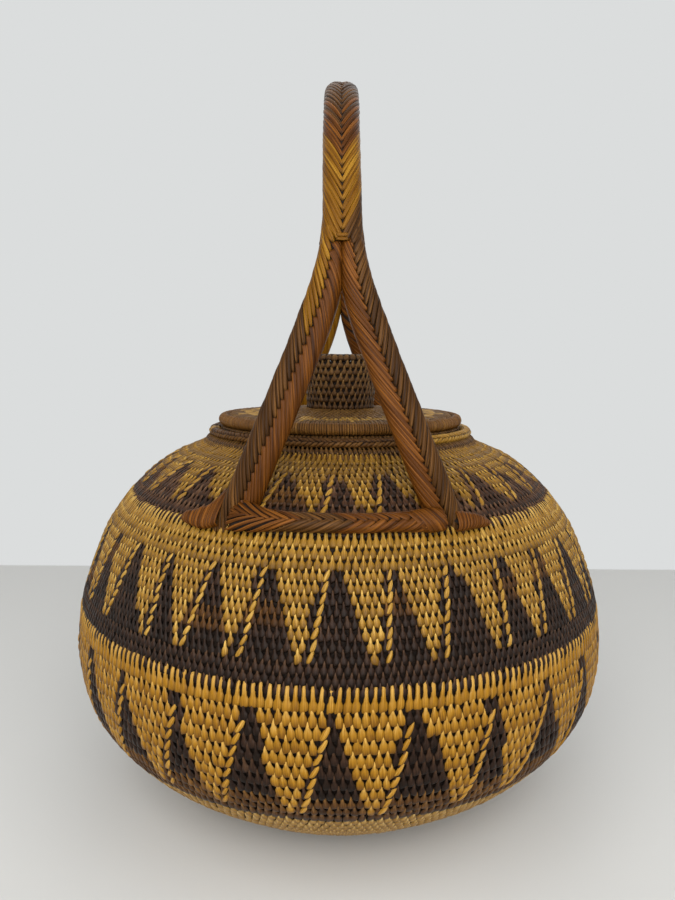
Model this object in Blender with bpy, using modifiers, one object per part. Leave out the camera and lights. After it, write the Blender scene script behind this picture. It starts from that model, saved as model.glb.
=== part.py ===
"""Coiled cane basket with a loose lid and a tall forked handle.

The body is one squat turned shape, made in the stages in which it is worked: the base coil, three
wall bands, the collar, the braid round the mouth and the upright neck. The lid drops into the neck
and carries a hollow drum knob. The handle is two hoops of two canes each, which part into a pair of
legs at the front and at the rear, bound with split cane, with a bar between the feet.
Metres, +Z up, the origin under the middle of the base. The handle's arch lies in the YZ plane.
"""
import math

import bmesh
import bpy
from mathutils import Vector

# Gap between pieces that touch, and the distance at which points count as one
FIT_GAP = 0.0003
MERGE_DISTANCE = 0.00001

# Body: greatest radius, height of the turned wall, and thickness of a coil
BODY_RADIUS = 0.142
BODY_HEIGHT = 0.1893
WALL = 0.004

# Outer profile from the edge of the flat base to the collar, as shares of radius and height
PROFILE_SHARES = (
    (0.465, 0.000), (0.603, 0.048), (0.710, 0.107), (0.851, 0.196), (0.960, 0.307), (1.000, 0.433),
    (0.988, 0.566), (0.945, 0.677), (0.880, 0.788), (0.791, 0.876), (0.675, 0.950), (0.530, 1.000),
)

# Heights at which the worked bands meet, as shares of the body's height
FOOT_BAND_SHARE = 0.248
LOWER_BAND_SHARE = 0.577
WAIST_BAND_SHARE = 0.798

# Collar that leans inwards from the wall, the braid laid on it and the upright neck inside them
COLLAR_WIDTH = 0.0085
COLLAR_RISE = 0.0036
COLLAR_TOP_SHARE = 0.64
BRAID_HALF_WIDTH = 0.0029
BRAID_HALF_HEIGHT = 0.0021
NECK_THICKNESS = 0.0036
NECK_ABOVE_BRAID = 0.0005
NECK_DEPTH = 0.0040

# Lid: wrapped rim, domed plate and the ring that drops into the neck
LID_RIM_HALF_WIDTH = 0.0032
LID_RIM_HALF_HEIGHT = 0.0031
LID_OVERHANG = 0.0010
LID_DOME = 0.0030
SEAT_CLEARANCE = 0.0013
SEAT_THICKNESS = 0.0030
SEAT_DEPTH = 0.0080

# Knob: a drum that widens a little upwards, closed by a cap
KNOB_BASE_RADIUS = 0.0182
KNOB_TOP_RADIUS = 0.0196
KNOB_HEIGHT = 0.0290
KNOB_WALL = 0.0030
KNOB_CAP_THICKNESS = 0.0030
KNOB_CAP_CROWN = 0.0010

# Handle: its rise above the feet, its canes with their gaps, and the binding's thickness
HANDLE_RISE = 0.2078
CANE_RADIUS = 0.0028
CANE_GAP = 0.0006
STEM_GAP = 0.0018
BINDING = 0.0012
FOOT_SPREAD = 0.0439

# Handle places, as shares of the body's height or of the arch's rise above the feet
HANDLE_FOOT_SHARE = 0.891
STEM_START_SHARE = 0.650
FORK_SHARE = 0.240
FORK_SOFT_SHARE = 0.120
FOOT_RUN_DEGREES = 95.0

# Bar between the feet, and the lashing that ties each foot to the wall, a little lower than the feet
STRAP_SHARE = 0.875
BAR_CORE_HALF_WIDTH = 0.0034
BAR_CORE_HALF_THICKNESS = 0.0018
BAR_SEAT_GAP = 0.0005
LASHING_LENGTH = 0.0190
LASHING_HALF_WIDTH = 0.0058
LASHING_HALF_THICKNESS = 0.0026
LASHING_TIP_SHARE = 0.35
STRAP_CORNER_SHARE = 0.8

# Facet counts
TURN_STEPS = 40
KNOB_STEPS = 24
BAND_RINGS = 5
SECTION_CORNER_POINTS = 3
OVAL_POINTS = 8
STEM_STATIONS = 16
LEG_STATIONS = 8
BAR_STATIONS = 8
LASHING_STATIONS = 4
PROFILE_SAMPLES = 24
FORK_SEARCH_DEGREES = 0.25

COLLECTION = bpy.data.collections.new("lidded_basket")
CUTTERS = bpy.data.collections.new("cutters")


def clear_scene():
    """Remove what the scene holds and link the two collections."""
    for item in list(bpy.data.objects):
        bpy.data.objects.remove(item)
    bpy.context.scene.collection.children.link(COLLECTION)
    bpy.context.scene.collection.children.link(CUTTERS)


def material(name, colour, roughness=0.6):
    """A Principled material in the part's own colour, for one object."""
    made = bpy.data.materials.new(name)
    made.use_nodes = True
    shader = made.node_tree.nodes["Principled BSDF"]
    shader.inputs["Base Color"].default_value = (*colour, 1.0)
    shader.inputs["Roughness"].default_value = roughness
    shader.inputs["Metallic"].default_value = 0.0
    return made


STRAW = (0.56, 0.31, 0.06)
PALE_STRAW = (0.58, 0.38, 0.14)
DARK_VINE = (0.07, 0.045, 0.03)
BROWN_VINE = (0.16, 0.09, 0.045)
RED_CANE = (0.26, 0.11, 0.03)
BARE_CANE = (0.45, 0.28, 0.11)


def place(name, mesh, colour):
    """Put a mesh or curve into the part's collection under its node's name."""
    item = bpy.data.objects.new(name, mesh)
    item.data.materials.append(material(name + "_finish", colour))
    COLLECTION.objects.link(item)
    return item


def as_cutter(item):
    """Move an object among the cutters, shown as wire and never rendered."""
    COLLECTION.objects.unlink(item)
    CUTTERS.objects.link(item)
    item.hide_render = True
    item.display_type = "WIRE"
    return item


def smooth(item, degrees=40.0):
    """Shade a round piece smooth, with its hard edges kept."""
    item.data.shade_smooth()
    item.data.set_sharp_from_angle(angle=math.radians(degrees))


def turned(name, outline, colour, steps=TURN_STEPS, closed=True):
    """Turn an outline of (radius, height) points round Z; its outer side runs downwards."""
    mesh = bpy.data.meshes.new(name)
    count = len(outline)
    edges = [(i, i + 1) for i in range(count - 1)]
    if closed:
        edges.append((count - 1, 0))
    mesh.from_pydata([(radius, 0.0, height) for radius, height in outline], edges, [])
    item = place(name, mesh, colour)
    screw = item.modifiers.new("turn", "SCREW")
    screw.axis = "Z"
    screw.angle = math.tau
    screw.steps = steps
    screw.render_steps = steps
    screw.use_merge_vertices = True
    screw.merge_threshold = MERGE_DISTANCE
    screw.use_smooth_shade = True
    return item


def cut(item, cutter):
    """Cut one piece with a cutter."""
    boolean = item.modifiers.new("cut", "BOOLEAN")
    boolean.operation = "DIFFERENCE"
    boolean.solver = "EXACT"
    boolean.object = cutter


def catmull_rom(before, start, end, after, share):
    """Point at a share of the way from start to end on a smooth curve through four points."""
    square = share * share
    cube = square * share
    return tuple(
        0.5 * (2.0 * b + (c - a) * share + (2.0 * a - 5.0 * b + 4.0 * c - d) * square
               + (3.0 * b - a - 3.0 * c + d) * cube)
        for a, b, c, d in zip(before, start, end, after))


class Profile:
    """The body's outer profile, read by height or by length along the wall."""

    def __init__(self, growth=0.0):
        knots = [(BODY_RADIUS * radius, BODY_HEIGHT * height) for radius, height in PROFILE_SHARES]
        first = tuple(2.0 * a - b for a, b in zip(knots[0], knots[1]))
        last = tuple(2.0 * a - b for a, b in zip(knots[-1], knots[-2]))
        chain = [first, *knots, last]
        raw = []
        for i in range(1, len(chain) - 2):
            for step in range(PROFILE_SAMPLES):
                raw.append(Vector(catmull_rom(*chain[i - 1:i + 3], step / PROFILE_SAMPLES)))
        raw.append(Vector(knots[-1]))
        self.points = raw
        self.lengths = [0.0]
        for before, after in zip(raw, raw[1:]):
            self.lengths.append(self.lengths[-1] + (after - before).length)
        self.growth = growth

    def at_length(self, length):
        """Position and outward normal at a length measured from the base's edge."""
        length = min(max(length, 0.0), self.lengths[-1])
        i = 1
        while i < len(self.lengths) - 1 and self.lengths[i] < length:
            i += 1
        share = (length - self.lengths[i - 1]) / (self.lengths[i] - self.lengths[i - 1])
        low, high = self.points[i - 1], self.points[i]
        before = self.points[max(i - 2, 0)]
        after = self.points[min(i + 1, len(self.points) - 1)]
        run = (high - before).normalized().lerp((after - low).normalized(), share).normalized()
        normal = Vector((run.y, -run.x))
        return low.lerp(high, share) + normal * self.growth, normal

    def length_at(self, height):
        """Length along the wall at which it reaches a height."""
        for i in range(1, len(self.points)):
            if self.points[i].y >= height:
                rise = self.points[i].y - self.points[i - 1].y
                share = (height - self.points[i - 1].y) / rise
                return self.lengths[i - 1] + share * (self.lengths[i] - self.lengths[i - 1])
        return self.lengths[-1]

    def at_height(self, height):
        """Position and outward normal where the wall reaches a height."""
        return self.at_length(self.length_at(height))


PROFILE = Profile()
WALL_LENGTH = PROFILE.lengths[-1]


def wall_sides(low_share, high_share, rings):
    """Outer and inner points of one wall band, from its lower to its upper edge."""
    low = PROFILE.length_at(BODY_HEIGHT * low_share) if low_share else 0.0
    high = PROFILE.length_at(BODY_HEIGHT * high_share)
    if low_share:
        low += FIT_GAP / 2.0
    high -= FIT_GAP / 2.0
    outer, inner = [], []
    for step in range(rings + 1):
        point, normal = PROFILE.at_length(low + (high - low) * step / rings)
        outer.append(point)
        inner.append(point - normal * WALL)
    return outer, inner


def make_body():
    """The base coil and the three worked bands of the wall."""
    outer, inner = wall_sides(0.0, FOOT_BAND_SHARE, BAND_RINGS + 2)
    floor_top = inner[0].y
    outline = [(0.0, floor_top), *map(tuple, inner), *map(tuple, reversed(outer)), (0.0, 0.0)]
    turned("base_coil", outline, PALE_STRAW, closed=False)
    bands = (
        ("lower_wall", FOOT_BAND_SHARE, LOWER_BAND_SHARE, BROWN_VINE),
        ("waist_wall", LOWER_BAND_SHARE, WAIST_BAND_SHARE, STRAW),
        ("shoulder_wall", WAIST_BAND_SHARE, 1.0, STRAW),
    )
    for name, low, high, colour in bands:
        outer, inner = wall_sides(low, high, BAND_RINGS)
        turned(name, [*map(tuple, reversed(outer)), *map(tuple, inner)], colour)


def oval(radius, height, half_width, half_height):
    """An oval section centred at a radius and a height; its outer side runs downwards."""
    points = []
    for step in range(OVAL_POINTS):
        angle = math.pi / 2.0 - math.tau * step / OVAL_POINTS
        points.append((radius + half_width * math.cos(angle), height + half_height * math.sin(angle)))
    return points


# Places of the mouth, shared by the collar, the braid, the neck and the lid
COLLAR_TOP = BODY_HEIGHT + COLLAR_RISE
COLLAR_INNER = PROFILE.points[-1].x - COLLAR_WIDTH
BRAID_HEIGHT = COLLAR_TOP + FIT_GAP + BRAID_HALF_HEIGHT
NECK_RADIUS = COLLAR_INNER - FIT_GAP
NECK_TOP = BRAID_HEIGHT + BRAID_HALF_HEIGHT + NECK_ABOVE_BRAID
LID_RIM_HEIGHT = NECK_TOP + FIT_GAP + LID_RIM_HALF_HEIGHT
LID_RIM_RADIUS = NECK_RADIUS + LID_OVERHANG - LID_RIM_HALF_WIDTH
PLATE_RADIUS = LID_RIM_RADIUS - LID_RIM_HALF_WIDTH - FIT_GAP
PLATE_EDGE_TOP = LID_RIM_HEIGHT + LID_RIM_HALF_HEIGHT - FIT_GAP
PLATE_EDGE_BOTTOM = NECK_TOP + FIT_GAP


def make_mouth():
    """The leaning collar, the braid laid on it and the upright neck inside both."""
    neck_bottom = BODY_HEIGHT - NECK_DEPTH
    inner = NECK_RADIUS - NECK_THICKNESS
    turned("neck_wall", [(NECK_RADIUS, NECK_TOP), (NECK_RADIUS, neck_bottom), (inner, neck_bottom),
                         (inner, NECK_TOP)], STRAW)
    end, normal = PROFILE.at_length(WALL_LENGTH)
    run = Vector((-normal.y, normal.x))
    outer_low = end + run * FIT_GAP
    inner_low = outer_low - normal * WALL
    collar = [(COLLAR_INNER + COLLAR_WIDTH * COLLAR_TOP_SHARE, COLLAR_TOP), tuple(outer_low),
              tuple(inner_low), (COLLAR_INNER, inner_low.y), (COLLAR_INNER, COLLAR_TOP)]
    turned("neck_collar", collar, DARK_VINE)
    turned("rim_braid", oval(COLLAR_INNER + BRAID_HALF_WIDTH, BRAID_HEIGHT, BRAID_HALF_WIDTH,
                             BRAID_HALF_HEIGHT), BROWN_VINE)


def make_lid():
    """The lid's plate, wrapped rim and seat ring, and the drum knob with its cap."""
    turned("lid_rim_wrap", oval(LID_RIM_RADIUS, LID_RIM_HEIGHT, LID_RIM_HALF_WIDTH,
                                LID_RIM_HALF_HEIGHT), BROWN_VINE)
    knob_seat = KNOB_BASE_RADIUS + KNOB_WALL
    plate = [
        (0.0, PLATE_EDGE_TOP + LID_DOME), (knob_seat, PLATE_EDGE_TOP + LID_DOME),
        (PLATE_RADIUS, PLATE_EDGE_TOP), (PLATE_RADIUS, PLATE_EDGE_BOTTOM),
        (knob_seat, PLATE_EDGE_BOTTOM + LID_DOME), (0.0, PLATE_EDGE_BOTTOM + LID_DOME)]
    turned("lid_plate", plate, DARK_VINE, closed=False)
    seat_outer = NECK_RADIUS - NECK_THICKNESS - SEAT_CLEARANCE
    seat_top = NECK_TOP
    seat_bottom = NECK_TOP - SEAT_DEPTH
    seat_inner = seat_outer - SEAT_THICKNESS
    turned("lid_seat_ring", [(seat_outer, seat_top), (seat_outer, seat_bottom),
                             (seat_inner, seat_bottom), (seat_inner, seat_top)], BROWN_VINE)
    foot = PLATE_EDGE_TOP + LID_DOME + FIT_GAP
    top = foot + KNOB_HEIGHT - KNOB_CAP_THICKNESS - FIT_GAP
    turned("knob_wall", [
        (KNOB_TOP_RADIUS, top), (KNOB_BASE_RADIUS, foot), (KNOB_BASE_RADIUS - KNOB_WALL, foot),
        (KNOB_TOP_RADIUS - KNOB_WALL, top)], DARK_VINE, steps=KNOB_STEPS)
    cap_low = top + FIT_GAP
    cap_high = cap_low + KNOB_CAP_THICKNESS
    cap_edge = KNOB_TOP_RADIUS - KNOB_CAP_CROWN
    turned("knob_cap", [
        (0.0, cap_high), (cap_edge, cap_high), (KNOB_TOP_RADIUS, cap_high - KNOB_CAP_CROWN),
        (KNOB_TOP_RADIUS, cap_low), (0.0, cap_low)], BROWN_VINE, steps=KNOB_STEPS, closed=False)


# Half the spacing of the canes in a pair, and of the two pairs in the stem
PAIR_OFFSET = CANE_RADIUS + CANE_GAP / 2.0
STEM_OFFSET = CANE_RADIUS + STEM_GAP / 2.0


class Arch:
    """The path that the handle's hoops follow, and the plane of each section across it."""

    def __init__(self):
        foot, _ = PROFILE.at_height(BODY_HEIGHT * HANDLE_FOOT_SHARE)
        self.foot_height = foot.y
        self.reach = math.sqrt(foot.x ** 2 - FOOT_SPREAD ** 2)
        self.rise = HANDLE_RISE - (PAIR_OFFSET + CANE_RADIUS + FIT_GAP + BINDING)
        self.stem_height = self.foot_height + self.rise * STEM_START_SHARE

    def centre(self, degrees):
        """Middle of the arch; -90 is the front foot, 0 the top and 90 the rear foot."""
        angle = math.radians(degrees)
        return Vector((0.0, self.reach * math.sin(angle), self.foot_height + self.rise * math.cos(angle)))

    def outward(self, degrees):
        """Unit vector across the arch, pointing away from its hollow."""
        angle = math.radians(degrees)
        return Vector((0.0, self.rise * math.sin(angle), self.reach * math.cos(angle))).normalized()

    def fork_share(self, degrees):
        """How far down from the start of the fork a place lies, 0 on the stem and 1 at the foot."""
        depth = self.stem_height - self.centre(degrees).z
        return depth / (self.stem_height - self.foot_height)

    def spread(self, degrees):
        """Sideways distance of each hoop from the arch's plane."""
        share = self.fork_share(degrees)

        def hinge(value):
            bend = value - FORK_SHARE
            return math.sqrt(bend * bend + FORK_SOFT_SHARE ** 2) + bend

        if share <= 0.0:
            return STEM_OFFSET
        opened = (hinge(share) - hinge(0.0)) / (hinge(1.0) - hinge(0.0))
        return STEM_OFFSET + (FOOT_SPREAD - STEM_OFFSET) * opened

    def lean(self, degrees):
        """Stretch of a leg's width where a level section crosses it at a slant."""
        small = 0.5
        side = self.spread(degrees + small) - self.spread(degrees - small)
        along = (self.centre(degrees + small) - self.centre(degrees - small)).length
        return math.sqrt(1.0 + (side / along) ** 2)

    def turn(self, degrees):
        """Quarter turn of a cane pair, from side by side in the leg to one above the other."""
        share = min(max(self.fork_share(degrees) / (2.0 * FORK_SHARE), 0.0), 1.0)
        return math.pi / 2.0 * (1.0 - share * share * (3.0 - 2.0 * share))

    def point(self, degrees, side, across):
        """World point at a sideways distance and a distance across the arch."""
        return self.centre(degrees) + Vector((side, 0.0, 0.0)) + self.outward(degrees) * across

    def pair_extent(self, degrees):
        """Half width and half height of a cane pair with its gap, in a section of the arch."""
        turn = self.turn(degrees)
        lean = self.lean(degrees)
        reach = CANE_RADIUS + FIT_GAP
        half_width = (PAIR_OFFSET * math.cos(turn) + reach) * lean
        half_height = PAIR_OFFSET * math.sin(turn) + reach
        return half_width, half_height


ARCH = Arch()


def rounded_section(half_width, half_height, corner):
    """Points round a rectangle with round corners, counter-clockwise from its right side."""
    corner = min(corner, half_width, half_height)
    points = []
    corners = ((1, -1, -90), (1, 1, 0), (-1, 1, 90), (-1, -1, 180))
    for side, level, start in corners:
        for step in range(SECTION_CORNER_POINTS):
            angle = math.radians(start + 90 * step / (SECTION_CORNER_POINTS - 1))
            points.append((side * (half_width - corner) + corner * math.cos(angle),
                           level * (half_height - corner) + corner * math.sin(angle)))
    return points


def loft(name, rings, bore_rings, colour):
    """Close a row of unlike sections into one body, with a bore through it where one is given."""
    mesh = bpy.data.meshes.new(name)
    build = bmesh.new()
    shells = [[[build.verts.new(point) for point in ring] for ring in rings]]
    if bore_rings:
        shells.append([[build.verts.new(point) for point in ring] for ring in bore_rings])
    for inward, shell in enumerate(shells):
        for low, high in zip(shell, shell[1:]):
            count = len(low)
            for i in range(count):
                face = (low[i], low[(i + 1) % count], high[(i + 1) % count], high[i])
                build.faces.new(face[::-1] if inward else face)
    for end in (0, -1):
        ring = shells[0][end]
        if bore_rings:
            bore = shells[1][end]
            count = len(ring)
            for i in range(count):
                following = (i + 1) % count
                build.faces.new((ring[following], ring[i], bore[i], bore[following]))
        else:
            build.faces.new(ring)
    bmesh.ops.recalc_face_normals(build, faces=build.faces)
    build.to_mesh(mesh)
    build.free()
    item = place(name, mesh, colour)
    smooth(item)
    return item


def arch_ring(degrees, middle, half_width, half_height, corner):
    """A rounded section across the arch, centred at a sideways distance."""
    return [ARCH.point(degrees, middle + side, across)
            for side, across in rounded_section(half_width, half_height, corner)]


def fork_degrees():
    """Angle at which the two legs' bindings have come together under the stem."""
    degrees = 0.0
    while degrees < 90.0:
        half_width, _ = ARCH.pair_extent(degrees)
        if ARCH.spread(degrees) - (half_width + BINDING * ARCH.lean(degrees)) > FIT_GAP / 2.0:
            return degrees
        degrees += FORK_SEARCH_DEGREES
    return degrees


FORK_DEGREES = fork_degrees()
STEM_END_DEGREES = FORK_DEGREES - math.degrees(FIT_GAP / ARCH.reach)


def stations(start, end, count):
    """Angles from start to end, both kept."""
    return [start + (end - start) * step / count for step in range(count + 1)]


FRONT_LEG = stations(-FOOT_RUN_DEGREES, -FORK_DEGREES, LEG_STATIONS)
STEM = stations(-STEM_END_DEGREES, STEM_END_DEGREES, STEM_STATIONS)
REAR_LEG = stations(FORK_DEGREES, FOOT_RUN_DEGREES, LEG_STATIONS)


def leg_rings(side, end, thickness):
    """Sections of one leg's binding, from the buried foot to the fork; its bore has no thickness."""
    rings = []
    for degrees in FRONT_LEG:
        half_width, half_height = ARCH.pair_extent(degrees)
        half_width += thickness * ARCH.lean(degrees)
        rings.append(arch_ring(end * degrees, side * ARCH.spread(degrees), half_width,
                               half_height + thickness, CANE_RADIUS + FIT_GAP + thickness))
    return rings


def stem_rings(thickness):
    """Sections of the binding round all four canes, from fork to fork."""
    rings = []
    for degrees in STEM:
        half_width, half_height = ARCH.pair_extent(degrees)
        half_width += ARCH.spread(degrees) + thickness
        rings.append(arch_ring(degrees, 0.0, half_width, half_height + thickness,
                               CANE_RADIUS + FIT_GAP + thickness))
    return rings


def make_envelope():
    """A cutter the size of the body's outside with a gap, which seats the legs' feet."""
    grown = Profile(growth=FIT_GAP)
    outline = [(0.0, BODY_HEIGHT)]
    for step in range(4 * BAND_RINGS, -1, -1):
        point, _ = grown.at_length(WALL_LENGTH * step / (4 * BAND_RINGS))
        outline.append(tuple(point))
    outline.append((0.0, outline[-1][1]))
    return as_cutter(turned("body_envelope", outline, DARK_VINE, closed=False))


def cane_points(side, order):
    """Centre line of one cane, from the front foot over the top to the rear foot."""
    points = []
    for degrees in FRONT_LEG + STEM + REAR_LEG:
        turn = ARCH.turn(degrees)
        across = order * PAIR_OFFSET * math.sin(turn)
        sideways = order * PAIR_OFFSET * math.cos(turn) * ARCH.lean(degrees)
        points.append(ARCH.point(degrees, side * (ARCH.spread(degrees) + sideways), across))
    return points


def make_cane(name, side, order, envelope):
    """One cane of a hoop: a tube on its centre line, made a mesh and cut at the wall."""
    curve = bpy.data.curves.new(name, "CURVE")
    curve.dimensions = "3D"
    curve.bevel_depth = CANE_RADIUS
    curve.bevel_resolution = 2
    curve.use_fill_caps = True
    spline = curve.splines.new("POLY")
    points = cane_points(side, order)
    spline.points.add(len(points) - 1)
    for target, point in zip(spline.points, points):
        target.co = (*point, 1.0)
    guide = bpy.data.objects.new(name + "_line", curve)
    COLLECTION.objects.link(guide)
    bpy.context.view_layer.update()
    evaluated = guide.evaluated_get(bpy.context.evaluated_depsgraph_get())
    mesh = bpy.data.meshes.new_from_object(evaluated)
    build = bmesh.new()
    build.from_mesh(mesh)
    bmesh.ops.remove_doubles(build, verts=build.verts, dist=MERGE_DISTANCE)
    bmesh.ops.recalc_face_normals(build, faces=build.faces)
    build.to_mesh(mesh)
    build.free()
    place_matrix = guide.matrix_world.copy()
    bpy.data.objects.remove(guide)
    mesh.materials.clear()
    item = place(name, mesh, BARE_CANE)
    item.matrix_world = place_matrix
    smooth(item)
    cut(item, envelope)


def make_hoops(envelope):
    """Two canes in each hoop, the left one and the right one."""
    for side_name, side in (("left", -1), ("right", 1)):
        for order_name, order in (("outer", 1), ("inner", -1)):
            make_cane(f"cane_{side_name}_{order_name}", side, order, envelope)


def make_bindings(envelope):
    """The binding over the arch's stem and one on each of the four legs."""
    loft("arch_binding", stem_rings(BINDING), stem_rings(0.0), RED_CANE)
    for end_name, end in (("front", 1), ("rear", -1)):
        for side_name, side in (("left", -1), ("right", 1)):
            leg = loft(f"leg_binding_{end_name}_{side_name}", leg_rings(side, end, BINDING),
                       leg_rings(side, end, 0.0), RED_CANE)
            cut(leg, envelope)


def leg_edge(height, inner):
    """Sideways place of a leg's inner or outer edge at a height, at the front or the rear."""
    degrees = math.degrees(math.acos((height - ARCH.foot_height) / ARCH.rise))
    half_width, _ = ARCH.pair_extent(degrees)
    half_width += BINDING * ARCH.lean(degrees)
    if inner:
        return ARCH.spread(degrees) - half_width - FIT_GAP
    return ARCH.spread(degrees) + half_width + FIT_GAP


def wall_section(half_width, half_height, lift):
    """A rounded section lying on the wall at the straps' height, as (radius, height) points."""
    point, normal = PROFILE.at_height(BODY_HEIGHT * STRAP_SHARE)
    run = Vector((-normal.y, normal.x))
    centre = point + normal * lift
    corner = STRAP_CORNER_SHARE * half_height
    return [centre + run * along + normal * out
            for along, out in rounded_section(half_width, half_height, corner)]


def polar(radius, degrees_from_front, height, end):
    """World point at a radius and a turn from the front or the rear of the handle."""
    angle = math.radians(degrees_from_front)
    return Vector((radius * math.sin(angle), -end * radius * math.cos(angle), height))


def bar_rings(section, end):
    """Sections along the bar, mitred at both ends along the legs' inner edges."""
    rings = []
    for step in range(BAR_STATIONS + 1):
        share = 2.0 * step / BAR_STATIONS - 1.0
        ring = []
        for point in section:
            limit = math.degrees(math.asin(leg_edge(point.y, inner=True) / point.x))
            ring.append(polar(point.x, share * limit, point.y, end))
        rings.append(ring)
    return rings


def make_bars():
    """The bar between the feet at each end: a flat split cane in its own binding."""
    bore_width = BAR_CORE_HALF_WIDTH + FIT_GAP
    bore_thickness = BAR_CORE_HALF_THICKNESS + FIT_GAP
    lift = BAR_SEAT_GAP + bore_thickness + BINDING
    outer = wall_section(bore_width + BINDING, bore_thickness + BINDING, lift)
    bore = wall_section(bore_width, bore_thickness, lift)
    core = wall_section(BAR_CORE_HALF_WIDTH, BAR_CORE_HALF_THICKNESS, lift)
    for name, end in (("front", 1), ("rear", -1)):
        loft(f"{name}_bar_binding", bar_rings(outer, end), bar_rings(bore, end), RED_CANE)
        loft(f"{name}_bar_core", bar_rings(core, end), None, BARE_CANE)


def make_lashings():
    """The tapered lashing that runs from each foot along the wall."""
    for end_name, end in (("front", 1), ("rear", -1)):
        for side_name, side in (("left", -1), ("right", 1)):
            rings = []
            for step in range(LASHING_STATIONS + 1):
                share = step / LASHING_STATIONS
                size = 1.0 + (LASHING_TIP_SHARE - 1.0) * share
                half_thickness = LASHING_HALF_THICKNESS * size
                section = wall_section(LASHING_HALF_WIDTH * size, half_thickness,
                                       BAR_SEAT_GAP + half_thickness)
                ring = []
                for point in section:
                    start = math.asin(leg_edge(point.y, inner=False) / point.x)
                    turn = math.degrees(start + share * LASHING_LENGTH / point.x)
                    ring.append(polar(point.x, side * turn, point.y, end))
                rings.append(ring)
            loft(f"foot_lashing_{end_name}_{side_name}", rings, None, RED_CANE)


def main():
    """Build the basket from the base up."""
    clear_scene()
    make_body()
    make_mouth()
    make_lid()
    envelope = make_envelope()
    make_hoops(envelope)
    make_bindings(envelope)
    make_bars()
    make_lashings()


main()
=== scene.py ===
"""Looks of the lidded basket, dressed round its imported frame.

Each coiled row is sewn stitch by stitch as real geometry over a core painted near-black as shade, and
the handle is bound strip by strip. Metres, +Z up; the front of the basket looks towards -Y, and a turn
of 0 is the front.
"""
import logging
import math
from dataclasses import dataclass, replace
from enum import Enum
from functools import cache

import bpy
import numpy as np
from bpy.types import ColorRamp, Material, Node, NodeSocket, NodeTree, Object
from mathutils import Matrix, Vector


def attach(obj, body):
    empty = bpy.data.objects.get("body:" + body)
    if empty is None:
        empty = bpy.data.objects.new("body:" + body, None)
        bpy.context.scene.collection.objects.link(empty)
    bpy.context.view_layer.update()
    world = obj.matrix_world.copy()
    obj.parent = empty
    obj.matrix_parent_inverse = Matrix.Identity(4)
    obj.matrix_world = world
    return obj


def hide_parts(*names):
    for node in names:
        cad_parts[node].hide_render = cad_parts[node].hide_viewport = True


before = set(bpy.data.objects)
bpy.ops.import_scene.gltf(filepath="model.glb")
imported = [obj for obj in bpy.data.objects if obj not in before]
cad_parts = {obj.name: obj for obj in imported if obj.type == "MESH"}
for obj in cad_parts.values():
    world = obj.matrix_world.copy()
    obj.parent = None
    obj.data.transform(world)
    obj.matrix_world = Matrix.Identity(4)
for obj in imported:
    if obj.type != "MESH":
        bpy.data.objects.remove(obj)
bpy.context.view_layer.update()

MM = 0.001
SEED = 7
# Painted shade in the valleys between the coils inside
CREVICE_PAINTED_SHADE = 0.8
LOG = logging.getLogger("basket")
Array = np.ndarray
# Two values that belong together, such as radius and height, mean and spread, or start and end
Pair = tuple[float, float]
# Outline points (radius, height), or a table of (place, value)
Pairs = tuple[Pair, ...]


def read_table(table: Pairs, places: Array) -> Array:
    """Values of a table at given places, on straight runs between its own."""
    return np.interp(places, *zip(*table))


def hex_to_linear(code: str) -> tuple[float, float, float, float]:
    """Turn an sRGB hex colour into the linear values that shaders take.

    Args:
        code: Colour such as "#C6963F".

    Returns:
        Linear red, green, blue and an alpha of 1.
    """
    parts = [int(code[i:i + 2], 16) / 255.0 for i in (1, 3, 5)]
    linear = [p / 12.92 if p <= 0.04045 else ((p + 0.055) / 1.055) ** 2.4 for p in parts]
    return (*linear, 1.0)


def add_node(tree: NodeTree, kind: str, inputs: dict | None = None, **settings: object) -> Node:
    """Add one shader node with its settings and links.

    Args:
        tree: Node tree that gets the node.
        kind: Blender's node type, without its prefix.
        inputs: Socket name or index to a value, or to the output socket that feeds it.
        settings: Properties of the node.

    Returns:
        The new node.
    """
    node = tree.nodes.new(f"ShaderNode{kind}")
    for name, value in settings.items():
        setattr(node, name, value)
    for socket, value in (inputs or {}).items():
        if isinstance(value, NodeSocket):
            tree.links.new(value, node.inputs[socket])
        else:
            node.inputs[socket].default_value = value
    return node


def fill_ramp(ramp: ColorRamp, stops: list[tuple[float, str]]) -> None:
    """Set a colour ramp's stops.

    Args:
        ramp: Ramp with its two default stops.
        stops: Places from 0 to 1 with hex colours, in rising order.
    """
    while len(ramp.elements) < len(stops):
        ramp.elements.new(1.0)
    for element, (place, code) in zip(ramp.elements, stops):
        element.position = place
        element.color = hex_to_linear(code)


def new_material(name: str) -> tuple[Material, NodeTree, Node]:
    """Start a node material.

    Args:
        name: Its name.

    Returns:
        The material, its node tree and its shader.
    """
    made = bpy.data.materials.new(name)
    made.use_nodes = True
    return made, made.node_tree, made.node_tree.nodes["Principled BSDF"]


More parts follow.
